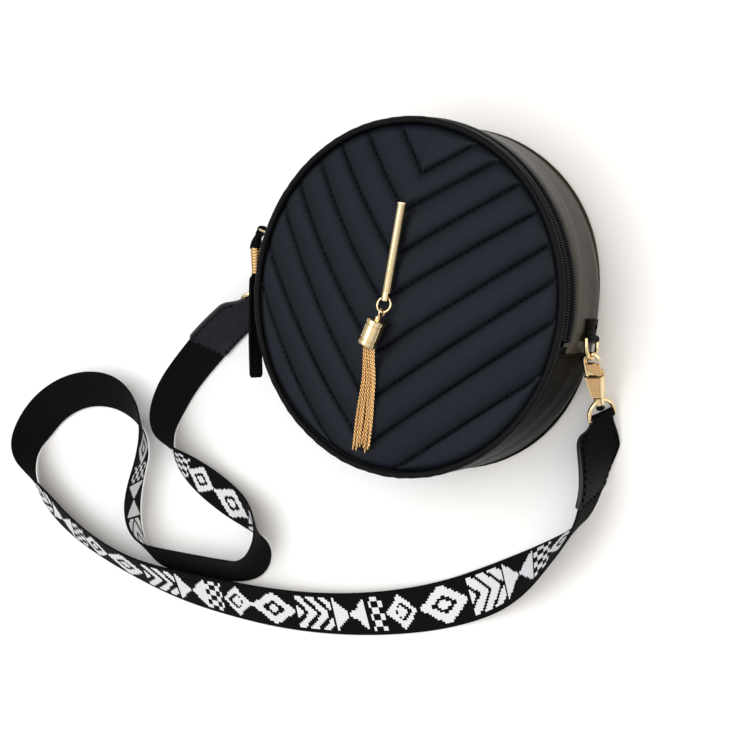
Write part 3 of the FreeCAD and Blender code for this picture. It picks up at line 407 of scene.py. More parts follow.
# Strap: the route's middle line and lean, the same as in the part's source
ROUTE = [
    (-172, -66, -34), (-184, -83, -32), (-195, -102, -28), (-200, -122, -14), (-198, -139, 20),
    (-186, -152, 52), (-166, -161, 70), (-143, -168, 72), (-121, -173, 60), (-106, -181, 34),
    (-101, -194, 0), (-108, -207, -28), (-124, -214, -40), (-148, -219, -44), (-174, -223, -44),
    (-197, -225, -40), (-212, -214, -26), (-219, -196, -20), (-219, -176, -20), (-216, -156, -23),
    (-221, -138, -38), (-235, -125, -55), (-257, -119, -65), (-281, -122, -63), (-302, -132, -55),
    (-319, -148, -45), (-329, -168, -30), (-331, -188, 15), (-321, -206, 45), (-302, -219, 55),
    (-276, -229, 52), (-244, -236, 47), (-208, -240, 47), (-170, -240, 58), (-128, -236, 68),
    (-86, -230, 73), (-44, -220, 75), (-3, -206, 78), (34, -189, 86), (63, -170, 102),
    (85, -151, 126), (102, -132, 150), (114, -116, 166), (120, -103, 176), (121, -90, 180),
]
STRAP_WIDTH = 30.0
STRAP_THICK = 1.6
STRAP_FLOOR_GAP = 0.8
ROUTE_STEPS = 24


def spline_points(points):
    """Points read from a smooth line that has these control points."""
    curve = bpy.data.curves.new("route", "CURVE")
    curve.dimensions = "3D"
    curve.resolution_u = ROUTE_STEPS
    line = curve.splines.new("NURBS")
    line.points.add(len(points) - 1)
    for spot, place in zip(line.points, points):
        spot.co = (*place, 1.0)
    line.order_u = 3
    line.use_endpoint_u = True
    holder = bpy.data.objects.new("route", curve)
    mesh = bpy.data.meshes.new_from_object(holder)
    result = np.array([v.co for v in mesh.vertices], float)
    bpy.data.objects.remove(holder)
    bpy.data.curves.remove(curve)
    bpy.data.meshes.remove(mesh)
    return result


route = spline_points([(x, y, 0.0) for x, y, lean in ROUTE])
lean = np.radians(spline_points([(lean, 0.0, 0.0) for x, y, lean in ROUTE])[:, 0])
heading = unit(np.gradient(route, axis=0))
leftward = np.cross(UP, heading)
across = leftward * np.sin(lean)[:, None] + UP * np.cos(lean)[:, None]
patterned = np.cross(heading, across)
rise = STRAP_WIDTH / 2 * np.abs(np.cos(lean)) + STRAP_THICK / 2 * np.abs(np.sin(lean)) + STRAP_FLOOR_GAP
middle = route + UP * rise[:, None]
run = lengths(middle)

CELL = 1.46
MOTIF_HALF = 11.0
MOTIF_PERIOD = 132.0


def motif(along, side):
    """True where the woven design is white: stepped diamonds, chevrons, triangles and checks."""
    s = (math.floor(along / CELL) + 0.5) * CELL % MOTIF_PERIOD
    v = (math.floor(side / CELL) + 0.5) * CELL
    high = abs(v)
    if high > MOTIF_HALF:
        return False
    if s < 38:
        reach = abs(s - 19) / 18 + high / 12
        return reach < 0.30 or 0.52 < reach < 1.05
    if s < 68:
        return (s - 38 + high) % 10.2 < 6.2 and 1 < s - 38 < 29
    if s < 94:
        return high < 11.6 * abs(s - 81) / 12 and abs(s - 81) < 12.4
    if s < 108:
        return (math.floor((s - 94) / 4.4) + math.floor((v + 13.1) / 4.38)) % 2 == 0 and s > 95
    reach = abs(s - 120) / 12 + high / 12
    return reach < 1.0 and not 0.34 < reach < 0.56


def make_webbing():
    shape = Shape()
    columns = np.arange(-10, 11) * CELL
    face = np.full(len(columns), STRAP_THICK / 2)
    face[[0, -1]] = STRAP_THICK / 4
    ring = np.concatenate([np.stack([columns, face], 1), np.stack([columns, -face], 1)[::-1]])
    sections = swept(middle, ring, across, patterned)
    rows, cols = sections.shape[:2]
    faces = grid_faces(rows, cols) + end_faces(rows, cols)
    sides = (columns[:-1] + columns[1:]) / 2
    plain = [0] * (cols - len(sides))
    kinds = []
    for spot in (run[:-1] + run[1:]) / 2:
        kinds += [int(motif(spot, side)) for side in sides] + plain
    coords = [(run[r], ring[c][0]) for r in range(rows) for c in range(cols)]
    shape.add(sections.reshape(-1, 3), faces, kinds + [0, 0], coords)
    return shape.build("strap", [BLACK_YARN, WHITE_YARN])


strap = finish(make_webbing(), "bag", "webbing", "strap_webbing")


# Leather ends of the strap, from the loop's bar to the webbing
LOOP_REACH = 35.2
SIDE_LEAN = {"right": 147.0, "left": -25.0}
END_HALF = 15.5
NECK_HALF = 7.4
END_THICK = 1.75
END_STEPS = 30
END_LAP = 3.0
END_ROUND = 2.6
END_STITCH = 0.32
SLEEVE_RADIUS = 2.7
SEW_INSET = 2.3
END_SLANT = {"right": -0.36, "left": 0.0}  # slant of the cut, along for each millimetre across
# The left end takes the lighter copy of the strap leather as painted light; the right end keeps the darker
# strap leather.
END_LEATHER = {"right": GRAIN, "left": LIT_GRAIN}
FLOOR_CLEAR = 0.3
SETTLE_TOP = 3.0  # height under which the lower edge is pushed up by the floor
SETTLE_LOW = -1.5  # where the lowest point would be without a floor


def hook_frame(side):
    """Middle of a hook's bow, its axis towards the strap, its sideways and its front."""
    name = f"hook_swivel_{side}"
    axis = unit(JOINTS[name]["axis"])
    front = unit(UP - axis * axis[2])
    return joint_place(name), axis, np.cross(front, axis), front


def settled(z):
    """Height of a point of a soft piece whose lower edge rests on the floor."""
    share = (z - SETTLE_LOW) / (SETTLE_TOP - SETTLE_LOW)
    return z if z > SETTLE_TOP else FLOOR_CLEAR + (SETTLE_TOP - FLOOR_CLEAR) * share


def make_strap_end(side):
    bow, axis, lateral, front = hook_frame(side)
    bar = bow + axis * LOOP_REACH
    tilt = math.radians(SIDE_LEAN[side])
    fold = front * math.cos(tilt) + lateral * math.sin(tilt)
    spot, way = (0, 1.0) if side == "left" else (-1, -1.0)
    wide = across[spot]
    goal = middle[spot] + wide * math.copysign(0.5, wide[2])
    leave = heading[spot] * way
    fold = fold * np.sign(np.dot(fold, wide))
    far = np.linalg.norm(goal - bar)
    t = np.linspace(0, 1, END_STEPS)[:, None]
    path = ((2 * t**3 - 3 * t**2 + 1) * bar + (t**3 - 2 * t**2 + t) * unit(goal - bar) * far
            + (3 * t**2 - 2 * t**3) * goal + (t**3 - t**2) * leave * far)
    lap = np.linspace(0.15, 1, 7)[:, None] * END_LAP
    path = np.concatenate([path, goal + lap * leave])
    along = lengths(path)
    share = along / along[-1]
    forward = unit(np.gradient(path, axis=0))
    turn = smooth(share)[:, None]
    width_way = unit(fold * (1 - turn) + wide * turn)
    skew = (width_way * forward).sum(1) * smooth(share / 0.3)
    width_way = unit(width_way - forward * skew[:, None])
    normal = unit(np.cross(forward, width_way))
    slant = END_SLANT[side] * forward * turn
    half = NECK_HALF + (END_HALF - NECK_HALF) * smooth((share - 0.03) / 0.34)
    left_over = along[-1] - along
    half = half - END_ROUND * np.clip(1 - left_over / 3.2, 0, 1) ** 2
    thick = END_THICK * (1.15 - 0.15 * smooth(share / 0.3))
    thick = thick * (1 - 0.45 * np.clip(1 - left_over / 0.8, 0, 1))
    ring = strap_section(36, 9.0)
    span = width_way + slant
    sections = swept(path, ring, half[:, None] * span, thick[:, None] * normal)
    shape = Shape()
    rim = np.abs(ring[:, 0]) > 0.985
    painted = np.where(rim & np.roll(rim, -1), 2, 0).tolist()
    loft(shape, sections, kind=painted * (len(path) - 1) + [2, 2])
    tube(shape, bar + fold * np.linspace(-NECK_HALF, NECK_HALF, 9)[:, None], SLEEVE_RADIUS, 16)
    sewn = half - SEW_INSET
    inside = slice(6, -3)
    last = -4
    for face in (1, -1):
        lift = normal * face
        for edge in (1, -1):
            row = path + span * (edge * sewn)[:, None] + lift * thick[:, None]
            stitches(shape, row[inside], lift[inside], END_STITCH, 1)
        cross = np.linspace(-1, 1, 15)[:, None] * span[last] * sewn[last]
        stitches(shape, path[last] + cross + lift[last] * thick[last], lift[last], END_STITCH, 1)
    shape.verts = [(x, y, settled(z)) for x, y, z in shape.verts]
    obj = shape.build(f"leather_end_{side}", [END_LEATHER[side], THREAD, EDGE])
    return finish(obj, "bag", "leather", f"strap_end_{side}")


strap_ends = [make_strap_end(side) for side in SIDES]


# Trigger hooks: bow, back plate, tapered body with an inlaid front, swivel post and gate
BOW_RADIUS = 4.4
BACK_OUTLINE = [(2.0, -5.4), (9.6, -5.7), (9.6, 5.4), (7.6, 2.2), (2.0, 1.8)]
BODY_OUTLINE = mirrored([(8.9, -5.7), (14.0, -5.1), (23.0, -3.5)])
INLAY_OUTLINE = mirrored([(9.6, -4.1), (21.8, -2.3)])
GATE_OUTLINE = [(0.8, -2.9), (5.4, -2.9), (8.3, 3.0), (8.3, 4.6), (7.4, 5.5), (0.8, 5.3)]
POST_PROFILE = [(0, 0), (1.65, 0), (1.65, 6.6), (2.6, 6.7), (2.6, 7.6), (2.1, 8.0), (0, 8.0)]
POST_START = 22.8
GATE_PIN = (7.0, 4.4, -1.2)
GATE_PIN_PROFILE = [(0, 0), (1.6, 0), (1.6, 3.0), (0, 3.0)]


def hook_place(side, points):
    """Points given along the hook's axis from its bow, sideways and to its front."""
    bow, axis, lateral, front = hook_frame(side)
    points = np.asarray(points, float)
    return bow + points[..., :1] * axis + points[..., 1:2] * lateral + points[..., 2:] * front


def plate(shape, side, outline, low, high, bevel=0.35, kind=0):
    """Flat plate of a hook with its edges broken."""
    outline = np.array(outline, float)
    away = unit(outline - outline.mean(axis=0))
    rows = [(low, bevel), (low + bevel, 0.0), (high - bevel, 0.0), (high, bevel)]
    sections = [np.insert(outline - away * inset, 2, z, axis=1) for z, inset in rows]
    loft(shape, hook_place(side, sections), kind=kind)


def make_hook(side):
    _, axis, _, front = hook_frame(side)
    bow = polar(BOW_RADIUS, np.radians(np.linspace(270, 90, 25)))
    spine = [(x, -BOW_RADIUS, 0.0) for x in (9.0, 6.0, 3.0)]
    shape = Shape()
    wire = hook_place(side, np.concatenate([spine, bow]))
    tube(shape, wire, np.linspace(1.45, 1.2, len(wire)), 14, up=front)
    plate(shape, side, BACK_OUTLINE, -2.2, 1.0)
    plate(shape, side, BODY_OUTLINE, -2.5, 2.5, 0.7)
    plate(shape, side, INLAY_OUTLINE, 2.2, 2.95, 0.25, 1)
    turned(shape, hook_place(side, (POST_START, 0.0, 0.0)), axis, POST_PROFILE, 20, 2)
    body = shape.build(f"hook_gold_{side}", [GOLD, BRASS, NYLON], 30.0)
    finish(body, f"hook_{side}", "gold_metal", f"hook_body_{side}")
    shape = Shape()
    plate(shape, side, GATE_OUTLINE, 1.5, 2.9, 0.3)
    turned(shape, hook_place(side, GATE_PIN), front, GATE_PIN_PROFILE, 20)
    gate = shape.build(f"hook_gate_gold_{side}", [BRASS], 30.0)
    return [body, finish(gate, f"gate_{side}", "gold_metal", f"hook_gate_{side}")]


strap_metal = [frame["nodes"][f"strap_loop_{side}"] for side in SIDES]
for side_name in SIDES:
    strap_metal += make_hook(side_name)


# Quilted front panel
PANEL_R = 100.8
CROWN_TOP = 70.0
CROWN = 6.0
# Each seam, as in the part's source: apex x, y, rise of right and left arm in degrees, bow of the left arm
SEAMS = [
    (2, 73, 35, 50, 0), (-4.5, 50.3, 35, 44, 45), (-6, 23.2, 37.5, 44.5, 27), (-8, -3.2, 38, 41.5, 45),
    (-7, -34, 40.5, 42, 33), (-8, -63.7, 42, 44, 30), (-6, -90.8, 43, 40.5, 28), (-3, -117, 43, 35, 40),
]
RIGHT_STEPS = np.array([0.0, 190.0])
LEFT_STEPS = np.linspace(0.0, 120.0, 13)
BOW_REACH = 100.0  # from the apex to where the bow is measured
SEAM_DEPTH = 1.3
SEAM_SOFT = 0.8
PUCKER = 0.12
PUCKER_REACH = 3.0
CHANNEL_DIP = 2.7
CHANNEL_CREST = 0.2
CHANNEL_FULL = 0.65  # power of the bulge, less for fuller channels
PANEL_GRID = 300
PANEL_THICK = 5.2
PANEL_LAP = 1.0  # how far the panel reaches under the piping
EDGE_START = 95.0
EDGE_DROP = 3.2
SEWN_R = 98.0
QUILT_STITCH = 0.46
STITCH_LIFT = 0.3
FRONT_LINING_TOP = 5.5  # depths of the lining's faces under the crown
FRONT_LINING_LOW = 6.0


def crown(x, y):
    return CROWN_TOP - CROWN * (x * x + y * y) / PANEL_R**2


def below_crown(depth):
    return lambda x, y: crown(x, y) - depth


def arms(seam):
    """Points along the right arm and along the left arm of a seam."""
    x, y, right, left, bow = seam
    right_rise = RIGHT_STEPS * math.tan(math.radians(right))
    left_rise = LEFT_STEPS * math.tan(math.radians(left)) + bow * (LEFT_STEPS / BOW_REACH) ** 2
    return (np.column_stack([x + RIGHT_STEPS, y + right_rise]),
            np.column_stack([x - LEFT_STEPS, y + left_rise]))


def seam_distance(seam, x, y):
    """Distance from a seam and place along its arm."""
    best = np.full(x.shape, np.inf)
    where = np.zeros(x.shape)
    for points in arms(seam):
        for start, end, along in zip(points, points[1:], lengths(points)):
            way = unit(end - start)
            from_x, from_y = x - start[0], y - start[1]
            reach = np.clip(from_x * way[0] + from_y * way[1], 0, np.linalg.norm(end - start))
            gap = np.hypot(from_x - reach * way[0], from_y - reach * way[1])
            where = np.where(gap < best, along + reach, where)
            best = np.minimum(best, gap)
    return best, where


def panel_height(x, y):
    """Height of the quilted surface."""
    near = np.full(x.shape, np.inf)
    second = np.full(x.shape, np.inf)
    place = np.zeros(x.shape)
    for seam in SEAMS:
        gap, where = seam_distance(seam, x, y)
        place = np.where(gap < near, where, place)
        second = np.where(gap < near, near, np.minimum(second, gap))
        near = np.minimum(near, gap)
    bulge = (4 * near * second / (near + second) ** 2) ** CHANNEL_FULL
    pucker = PUCKER * np.exp(-near / PUCKER_REACH) * np.sin(place * 2 * math.pi / STITCH_PITCH)
    relief = -SEAM_DEPTH * np.exp(-near / SEAM_SOFT) - CHANNEL_DIP * (1 - bulge) + CHANNEL_CREST + pucker
    past = np.hypot(x, y) - EDGE_START
    relief = relief * (1 - 0.45 * smooth(past / 6))
    edge = EDGE_DROP * np.clip(past / (PANEL_R - EDGE_START), 0, None) ** 2.6
    return crown(x, y) + relief - edge


def disc_grid(radius, count):
    """Even grid over a disc: a square grid drawn to the circle."""
    line = np.linspace(-1, 1, count + 1)
    a, b = np.meshgrid(line, line, indexing="ij")
    big = np.maximum(np.abs(a), np.abs(b))
    scale = big / np.maximum(np.hypot(a, b), 1e-9)
    blend = big**2
    x = a * (scale * blend + np.sqrt(1 - b * b / 2) * (1 - blend))
    y = b * (scale * blend + np.sqrt(1 - a * a / 2) * (1 - blend))
    return radius * x.ravel(), radius * y.ravel()


def disc_shell(shape, radius, count, top, bottom):
    """Closed form between two height functions over a disc."""
    x, y = disc_grid(radius, count)
    size = count + 1
    total = len(x)
    verts = np.concatenate([np.stack([x, y, side(x, y)], 1) for side in (top, bottom)])
    quads = grid_faces(size, size, wrap_cols=False)
    faces = quads + [tuple(total + i for i in q[::-1]) for q in quads]
    spots = np.arange(total).reshape(size, size)
    rim = np.concatenate([spots[:-1, 0], spots[-1, :-1], spots[:0:-1, -1], spots[0, :0:-1]])
    faces += [(a, b, total + b, total + a) for a, b in zip(rim, np.roll(rim, -1))]
    shape.add(verts, faces, 0, verts[:, :2])


def make_panel():
    shape = Shape()
    disc_shell(shape, PANEL_R + PANEL_LAP, PANEL_GRID, panel_height, below_crown(PANEL_THICK))
    panel = shape.build("quilt_panel", [QUILT], 60.0)
    folding(panel, "quilted_leather", "front_cover_upper", "front_cover_lower", "front_padding_upper",
            "front_padding_lower")
    seams = Shape()
    for seam in SEAMS:
        for points in arms(seam):
            run_here = lengths(points)
            spots = np.arange(0, run_here[-1], 0.7)
            row = points_at(points, run_here, spots)
            row = row[np.hypot(row[:, 0], row[:, 1]) < SEWN_R]
            if len(row) > 12:
                row = np.column_stack([row, panel_height(row[:, 0], row[:, 1]) + STITCH_LIFT])
                stitches(seams, row, UP, QUILT_STITCH, start=draw.uniform(0.4, 1.4))
    folding(seams.build("quilt_stitching", [THREAD]), "quilted_leather")
    lining = Shape()
    disc_shell(lining, PANEL_R - 0.6, 60, below_crown(FRONT_LINING_TOP), below_crown(FRONT_LINING_LOW))
    lining_piece = lining.build("panel_lining", [LINING], 60.0)
    folding(lining_piece, "lining", "front_lining_upper", "front_lining_lower")


make_panel()


# The soft bag is pressed in low on its right
BAG_R = 105.0
DENT_DEPTH = 6.4
DENT_ANGLE = 2.0
DENT_SPAN = 30.0
DENT_HEIGHT = 17.0


def pressed(shape):
    """Move a shape's outer points inwards where the bag is pressed in."""
    points = np.array(shape.verts, float)
    radius = np.hypot(points[:, 0], points[:, 1])
    angle = np.degrees(np.arctan2(points[:, 1], points[:, 0]))
    near = np.exp(-((angle - DENT_ANGLE) / DENT_SPAN) ** 2)
    depth = DENT_DEPTH * near * (1 - smooth(points[:, 2] / DENT_HEIGHT))
    points[:, :2] *= (1 - depth * radius**3 / BAG_R**4)[:, None]
    shape.verts = [tuple(point) for point in points]
    return shape


# Piping round the front and the back
PIPING_RING = 103.0
PIPING_RADIUS = 2.0
PIPING_AROUND = 14
ZIP_END = 6.0  # degrees past the half circle at each end of the zip's arc


def make_piping(name, height, wrinkle, upper, lower):
    """Ring of piping, with a material each for the zip's arc and for the lower arc."""
    angles = np.linspace(0, 2 * math.pi, 540, endpoint=False)
    slow, quick, swell = Ripple(5, 6, 24), Ripple(6, 40, 95), Ripple(5, 30, 80)
    # the wrinkles are strongest at the lower right
    amount = wrinkle * (0.35 + 0.9 * np.exp(-((np.degrees(angles) - 315) / 45) ** 2))
    fade = np.sin(angles / 2) ** 2
    radius = PIPING_RING + amount * (0.30 * slow(angles) + 0.22 * quick(angles)) * fade
    lift = height + amount * 0.25 * swell(angles) * fade
    shape = Shape()
    lower_arc = np.sin(angles) < -math.sin(math.radians(ZIP_END))
    kinds = np.repeat(lower_arc.astype(int), PIPING_AROUND).tolist()
    thick = PIPING_RADIUS + 0.08 * amount * quick(angles) * fade
    tube(shape, polar(radius, angles, lift), thick, PIPING_AROUND, True, kinds)
    return pressed(shape).build(name, [upper, lower])


folding(make_piping("front_rim", 62.5, 1.0, PIPING, PIPING), "piping",
        "front_piping_upper", "front_piping_lower")
# The back rim's zip arc takes the leather with painted warm sheen, and its lower arc takes the leather
# darkened as painted shade.
finish(make_piping("back_rim", 4.0, 0.5, SHEEN_PAINTED_SIDE, SHADE_PAINTED_LEATHER), "bag", "piping", "back_piping")


# Side walls of leather, the zip strip and the tapes
LEATHER_IN = 102.8
LEATHER_OUT = 104.0
WALL_LOW = 6.0
WALL_TOP = 60.5
SIDE_SEAM_HEIGHTS = np.linspace(36, 58, 20)
ZIP_HEIGHT = 52.9


def wall_profile(low, high, rows, bulge):
    """Closed profile of a wall with rounded edges; bulge is added to the outer side."""
    z = np.linspace(low, high, rows)
    from_edge = np.minimum(z - low, high - z)
    soft = 0.5 * np.clip(1 - from_edge / 0.7, 0, 1) ** 2
    inside = [(LEATHER_IN, height) for height in z[::3][::-1]]
    return np.concatenate([np.stack([LEATHER_OUT + bulge - soft, z], 1), inside])


def make_wall(start, end, low, high, rows, swell, wander, tuck=0.0, flare=0.0):
    """Soft wall: swell bulges it, wander waves it, tuck lifts its ends and flare its upper edge."""
    angles = np.linspace(start, end, int((end - start) * 2.2) + 2)
    rough, lean_in = Ripple(6, 3, 26), Ripple(4, 2, 9)
    z = np.linspace(0, 1, rows)
    profiles = []
    for angle in angles:
        turn = math.radians(angle)
        ends = min(angle - start, end - angle)
        waves = rough(turn + 2.0 * z) * 0.5 + lean_in(turn) * z * (1 - z) * 3
        bulge = (swell * np.sin(math.pi * z) + wander * waves) * smooth(ends / 4)
        bulge = bulge + tuck * (1 - smooth(ends / 1.2)) + flare * smooth(2 * z - 1) * smooth(ends / 9)
        profiles.append(wall_profile(low, high, rows, bulge))
    shape = Shape()
    band(shape, angles, profiles)
    return shape


shape = make_wall(180 + ZIP_END, 360 - ZIP_END, WALL_LOW, WALL_TOP, 26, 0.45, 0.22, tuck=0.5)
for turn in (187.1, 352.9):
    out = polar(LEATHER_OUT + 0.25, math.radians(turn))
    stitches(shape, out + UP * SIDE_SEAM_HEIGHTS[:, None], unit(out), 0.26, 1)
# The lower wall takes the leather darkened as painted shade.
finish(pressed(shape).build("side_lower", [SHADE_PAINTED_LEATHER, THREAD]), "bag", "leather", "gusset_bottom")

shape = make_wall(-ZIP_END, 180 + ZIP_END, WALL_LOW, 49.0, 22, 0.5, 0.16, flare=1.4)
# The upper wall takes the leather with painted warm sheen.
finish(pressed(shape).build("side_upper", [SHEEN_PAINTED_SIDE]), "bag", "leather", "gusset_top")

shape = make_wall(0.1 - ZIP_END, 179.9 + ZIP_END, 59.0, WALL_TOP, 7, -0.3, 0.05)
folding(shape.build("zip_strip", [PIPING]), "leather", "zip_strip_front", "zip_end_right", "zip_end_left")


TAPE_IN = 102.1
TAPE_OUT = 102.7
TAPE_GAP = 0.45  # from the zip's middle to a tape's edge


def make_tape(name, low, high):
    shape = Shape()
    angles = np.linspace(0.2 - ZIP_END, 179.8 + ZIP_END, 380)
    outside = [(TAPE_OUT, z) for z in (low, (low + high) / 2, high)]
    profile = outside + [(TAPE_IN, high), (TAPE_IN, low)]
    band(shape, angles, [profile] * len(angles))
    return shape.build(name, [TAPE])


finish(make_tape("tape_back", 41.0, ZIP_HEIGHT - TAPE_GAP), "bag", "zip_tape", "zip_tape_back")
folding(make_tape("tape_front", ZIP_HEIGHT + TAPE_GAP, 60.2), "zip_tape", "zip_tape_front")

TOOTH_PITCH = 1.5
TOOTH_RADIUS = 0.72
ROW_RADIUS = 104.0
ROW_HEIGHT = ZIP_HEIGHT + 1.9
ROW_LEAN = 0.26  # how far the rows go in for each millimetre to the front
TOOTH_REACH = np.array([5.2, 4.1, 2.5, 1.05, 0.38])
TOOTH_RISE = np.array([-0.7, 0.30, 0.52, 0.34, -0.20])
TOOTH_SLANT = np.array([0.30, 0.22, 0.05, -0.15, -0.26])
TOOTH_SHARE = np.array([0.8, 1.0, 1.0, 1.08, 0.8])


def make_teeth(name, side, offset):
    """Coil row of a zip: one bent loop of nylon for each tooth."""
    shape = Shape()
    step = math.degrees(TOOTH_PITCH / ROW_RADIUS)
    radius = ROW_RADIUS + TOOTH_RISE - ROW_LEAN * side * TOOTH_REACH
    for angle in np.arange(-1.9 + offset * step, 181.9, step):
        turn = np.radians(angle + TOOTH_SLANT * step)
        path = polar(radius, turn, ROW_HEIGHT + side * TOOTH_REACH)
        tube(shape, path, TOOTH_RADIUS * TOOTH_SHARE, 6, up=path[2] * (1, 1, 0))
    return shape.build(name, [NYLON])


finish(make_teeth("teeth_back", -1, 0.0), "bag", "zip_teeth", "zip_teeth_back")
folding(make_teeth("teeth_front", 1, 0.5), "zip_teeth", "zip_teeth_front")


# Inside: lining of the wall and of the back, then the back's cover and board
LINING_OUT = 101.75
LINING_IN = 101.25
LINING_FOOT = 7.0
LINING_ZIP_TOP = 41.2
LINING_RISE = 19.0  # how much higher the lining is where there is no zip
LINING_FLOOR = [(99.6, 3.98), (60.0, 3.96), (0.05, 3.96), (0.05, 3.45), (60.0, 3.45), (100.4, 3.45)]


def make_inside():
    angles = np.linspace(0, 360, 300, endpoint=False)
    folds = Ripple(6, 5, 34)
    profiles = []
    for angle in angles:
        turn = math.radians(angle)
        from_bottom = abs((angle - 90) % 360 - 180)
        top = LINING_ZIP_TOP + LINING_RISE * smooth((86.5 - from_bottom) / 3)
        z = np.linspace(LINING_FOOT, top, 12)
        wave = 0.22 * folds(turn) * np.sin(math.pi * (z - LINING_FOOT) / (top - LINING_FOOT))
        outer = np.stack([LINING_OUT + 0 * z, z], 1)
        inner = np.stack([LINING_IN + wave, z], 1)[::-1]
        profiles.append(np.concatenate([outer, inner, LINING_FLOOR]))
    shape = Shape()
    band(shape, angles, profiles, True)
    return pressed(shape).build("inner_lining", [LINING])


finish(make_inside(), "bag", "lining", "gusset_top_lining", "gusset_bottom_lining", "back_lining")

BACK_PROFILE = [(0, 0.0), (40, 0.0), (80, 0.0), (96, 0.02), (99.6, 0.5), (100.8, 1.3), (100.2, 1.65),
                (80, 1.65), (40, 1.65), (0, 1.65)]
BOARD_PROFILE = [(0, 1.72), (60, 1.72), (100.2, 1.72), (100.6, 2.1), (100.6, 2.8), (100.2, 3.18),
                 (60, 3.18), (0, 3.18)]
# The back cover takes the leather darkened as painted shade.
for name, profile, material, cad in (("back_cover", BACK_PROFILE, SHADE_PAINTED_LEATHER, "back_panel"),
                                     ("back_stiffener", BOARD_PROFILE, EDGE, "back_board")):
    shape = Shape()
    turned(shape, (0, 0, 0), UP, profile, 120)
    finish(pressed(shape).build(name, [material]), "bag", "leather", cad)


# Ornament bar on the front
BAR_X = -2.0
BAR_Z = 73.25
BAR_RADIUS = 2.75
BAR_PROFILE = [(0.0, 2.2), (1.9, 2.2), (2.5, 2.5), (BAR_RADIUS, 3.0), (BAR_RADIUS, 53.4), (2.95, 53.8),
               (3.0, 54.4), (2.9, 54.9), (2.6, 55.0), (0.0, 55.0)]
TONGUE_SPAN = 46.0
TONGUE_IN = 1.8
TONGUE_ENDS = (3.2, -1.9)
LUG_RING = 1.85
LUG_WIRE = 0.7
POST_PLACES = (11.6, 46.0)
BAR_POST = [(0, 0), (1.2, 0), (1.2, 10.5), (0, 10.5)]


def make_bar():
    shape = Shape()
    turned(shape, (BAR_X, 0, BAR_Z), (0, 1, 0), BAR_PROFILE, 40)
    # the front of the tube goes on over the ring
    turn = np.radians(np.linspace(-TONGUE_SPAN, TONGUE_SPAN, 13))
    arc = np.stack([np.sin(turn), np.cos(turn)], 1)
    outline = np.concatenate([arc * BAR_RADIUS, arc[::-1] * TONGUE_IN])
    loft(shape, [[(BAR_X + x, y, BAR_Z + z) for x, z in outline] for y in TONGUE_ENDS])
    lug = [(BAR_X, y, BAR_Z + z) for y, z in round_section(28) * LUG_RING]
    tube(shape, lug, LUG_WIRE, 10, True, up=(1, 0, 0))
    for y in POST_PLACES:
        turned(shape, (BAR_X, y, 62.0), UP, BAR_POST, 20)
    return shape.build("ornament_bar_gold", [GOLD])


finish(make_bar(), "flap", "gold_metal", "ornament_bar")


# Tassel: link, turned cap and fine chains, hanging a little to the left of the bar
cap_low, cap_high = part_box("tassel_cap")
CAP_Z = (cap_low.z + cap_high.z) / 2 / MM
CAP_LENGTH = 16.0
CAP_NECK = 2.4
TASSEL_LEAN = math.radians(14.0)
TASSEL_PIVOT = joint_place("tassel_swing")
TASSEL_WAY = np.array([-math.sin(TASSEL_LEAN), -math.cos(TASSEL_LEAN), 0.0])
CAP_REACH = TASSEL_PIVOT[1] - cap_high.y / MM + CAP_NECK
CAP_TOP = TASSEL_PIVOT + TASSEL_WAY * CAP_REACH + UP * (CAP_Z - TASSEL_PIVOT[2])
CAP_PROFILE = [(0.0, -CAP_NECK), (1.3, -CAP_NECK), (1.8, -2.0), (1.8, -0.2), (4.6, 0.0), (5.6, 0.15),
               (6.05, 0.6), (6.05, 2.6), (5.5, 2.9), (5.5, 3.5), (5.95, 3.8), (5.95, 12.2), (5.5, 12.5),
               (5.5, 13.1), (6.05, 13.4), (6.15, 15.4), (5.9, 15.9), (5.3, CAP_LENGTH), (4.8, 15.8),
               (4.75, 11.0), (0.0, 11.0)]
LINK_WAY = np.array([0, -1, 0])
LINK_RING = 2.6
LINK_BAR = 0.6
LINK_PLAY = 2.05

shape = Shape()
ring = round_section(24) * LINK_RING
path = TASSEL_PIVOT + LINK_WAY * (LINK_RING - LINK_PLAY) + ring[:, :1] * LINK_WAY + ring[:, 1:] * UP
tube(shape, path, LINK_BAR, 10, True, up=np.cross(UP, LINK_WAY))
finish(shape.build("tassel_link_gold", [GOLD]), "tassel", "gold_metal", "tassel_link")

shape = Shape()
turned(shape, CAP_TOP, TASSEL_WAY, CAP_PROFILE, 48)
finish(shape.build("tassel_cap_gold", [GOLD], 30.0), "tassel", "gold_metal", "tassel_cap")

LINK_PITCH = 1.16
LINK_LONG = 0.84
LINK_WIDE = 0.50
LINK_WIRE = 0.21
STRANDS = 12
CHAIN_START = CAP_TOP + TASSEL_WAY * (CAP_LENGTH - 4.0)
CHAIN_END = np.array([-5.2, -91.0])
CHAIN_FAN = 5.2
CHAIN_CIRCLE = 3.0
CHAIN_LIFT = 1.4  # above the crown, clear of the panel as the tassel swings
CHAIN_LAYER = 1.45
CHAIN_TIP = [(0.2, -1.2), (0.55, -0.9), (0.62, 0.2), (0.4, 0.8), (0.0, 0.9)]


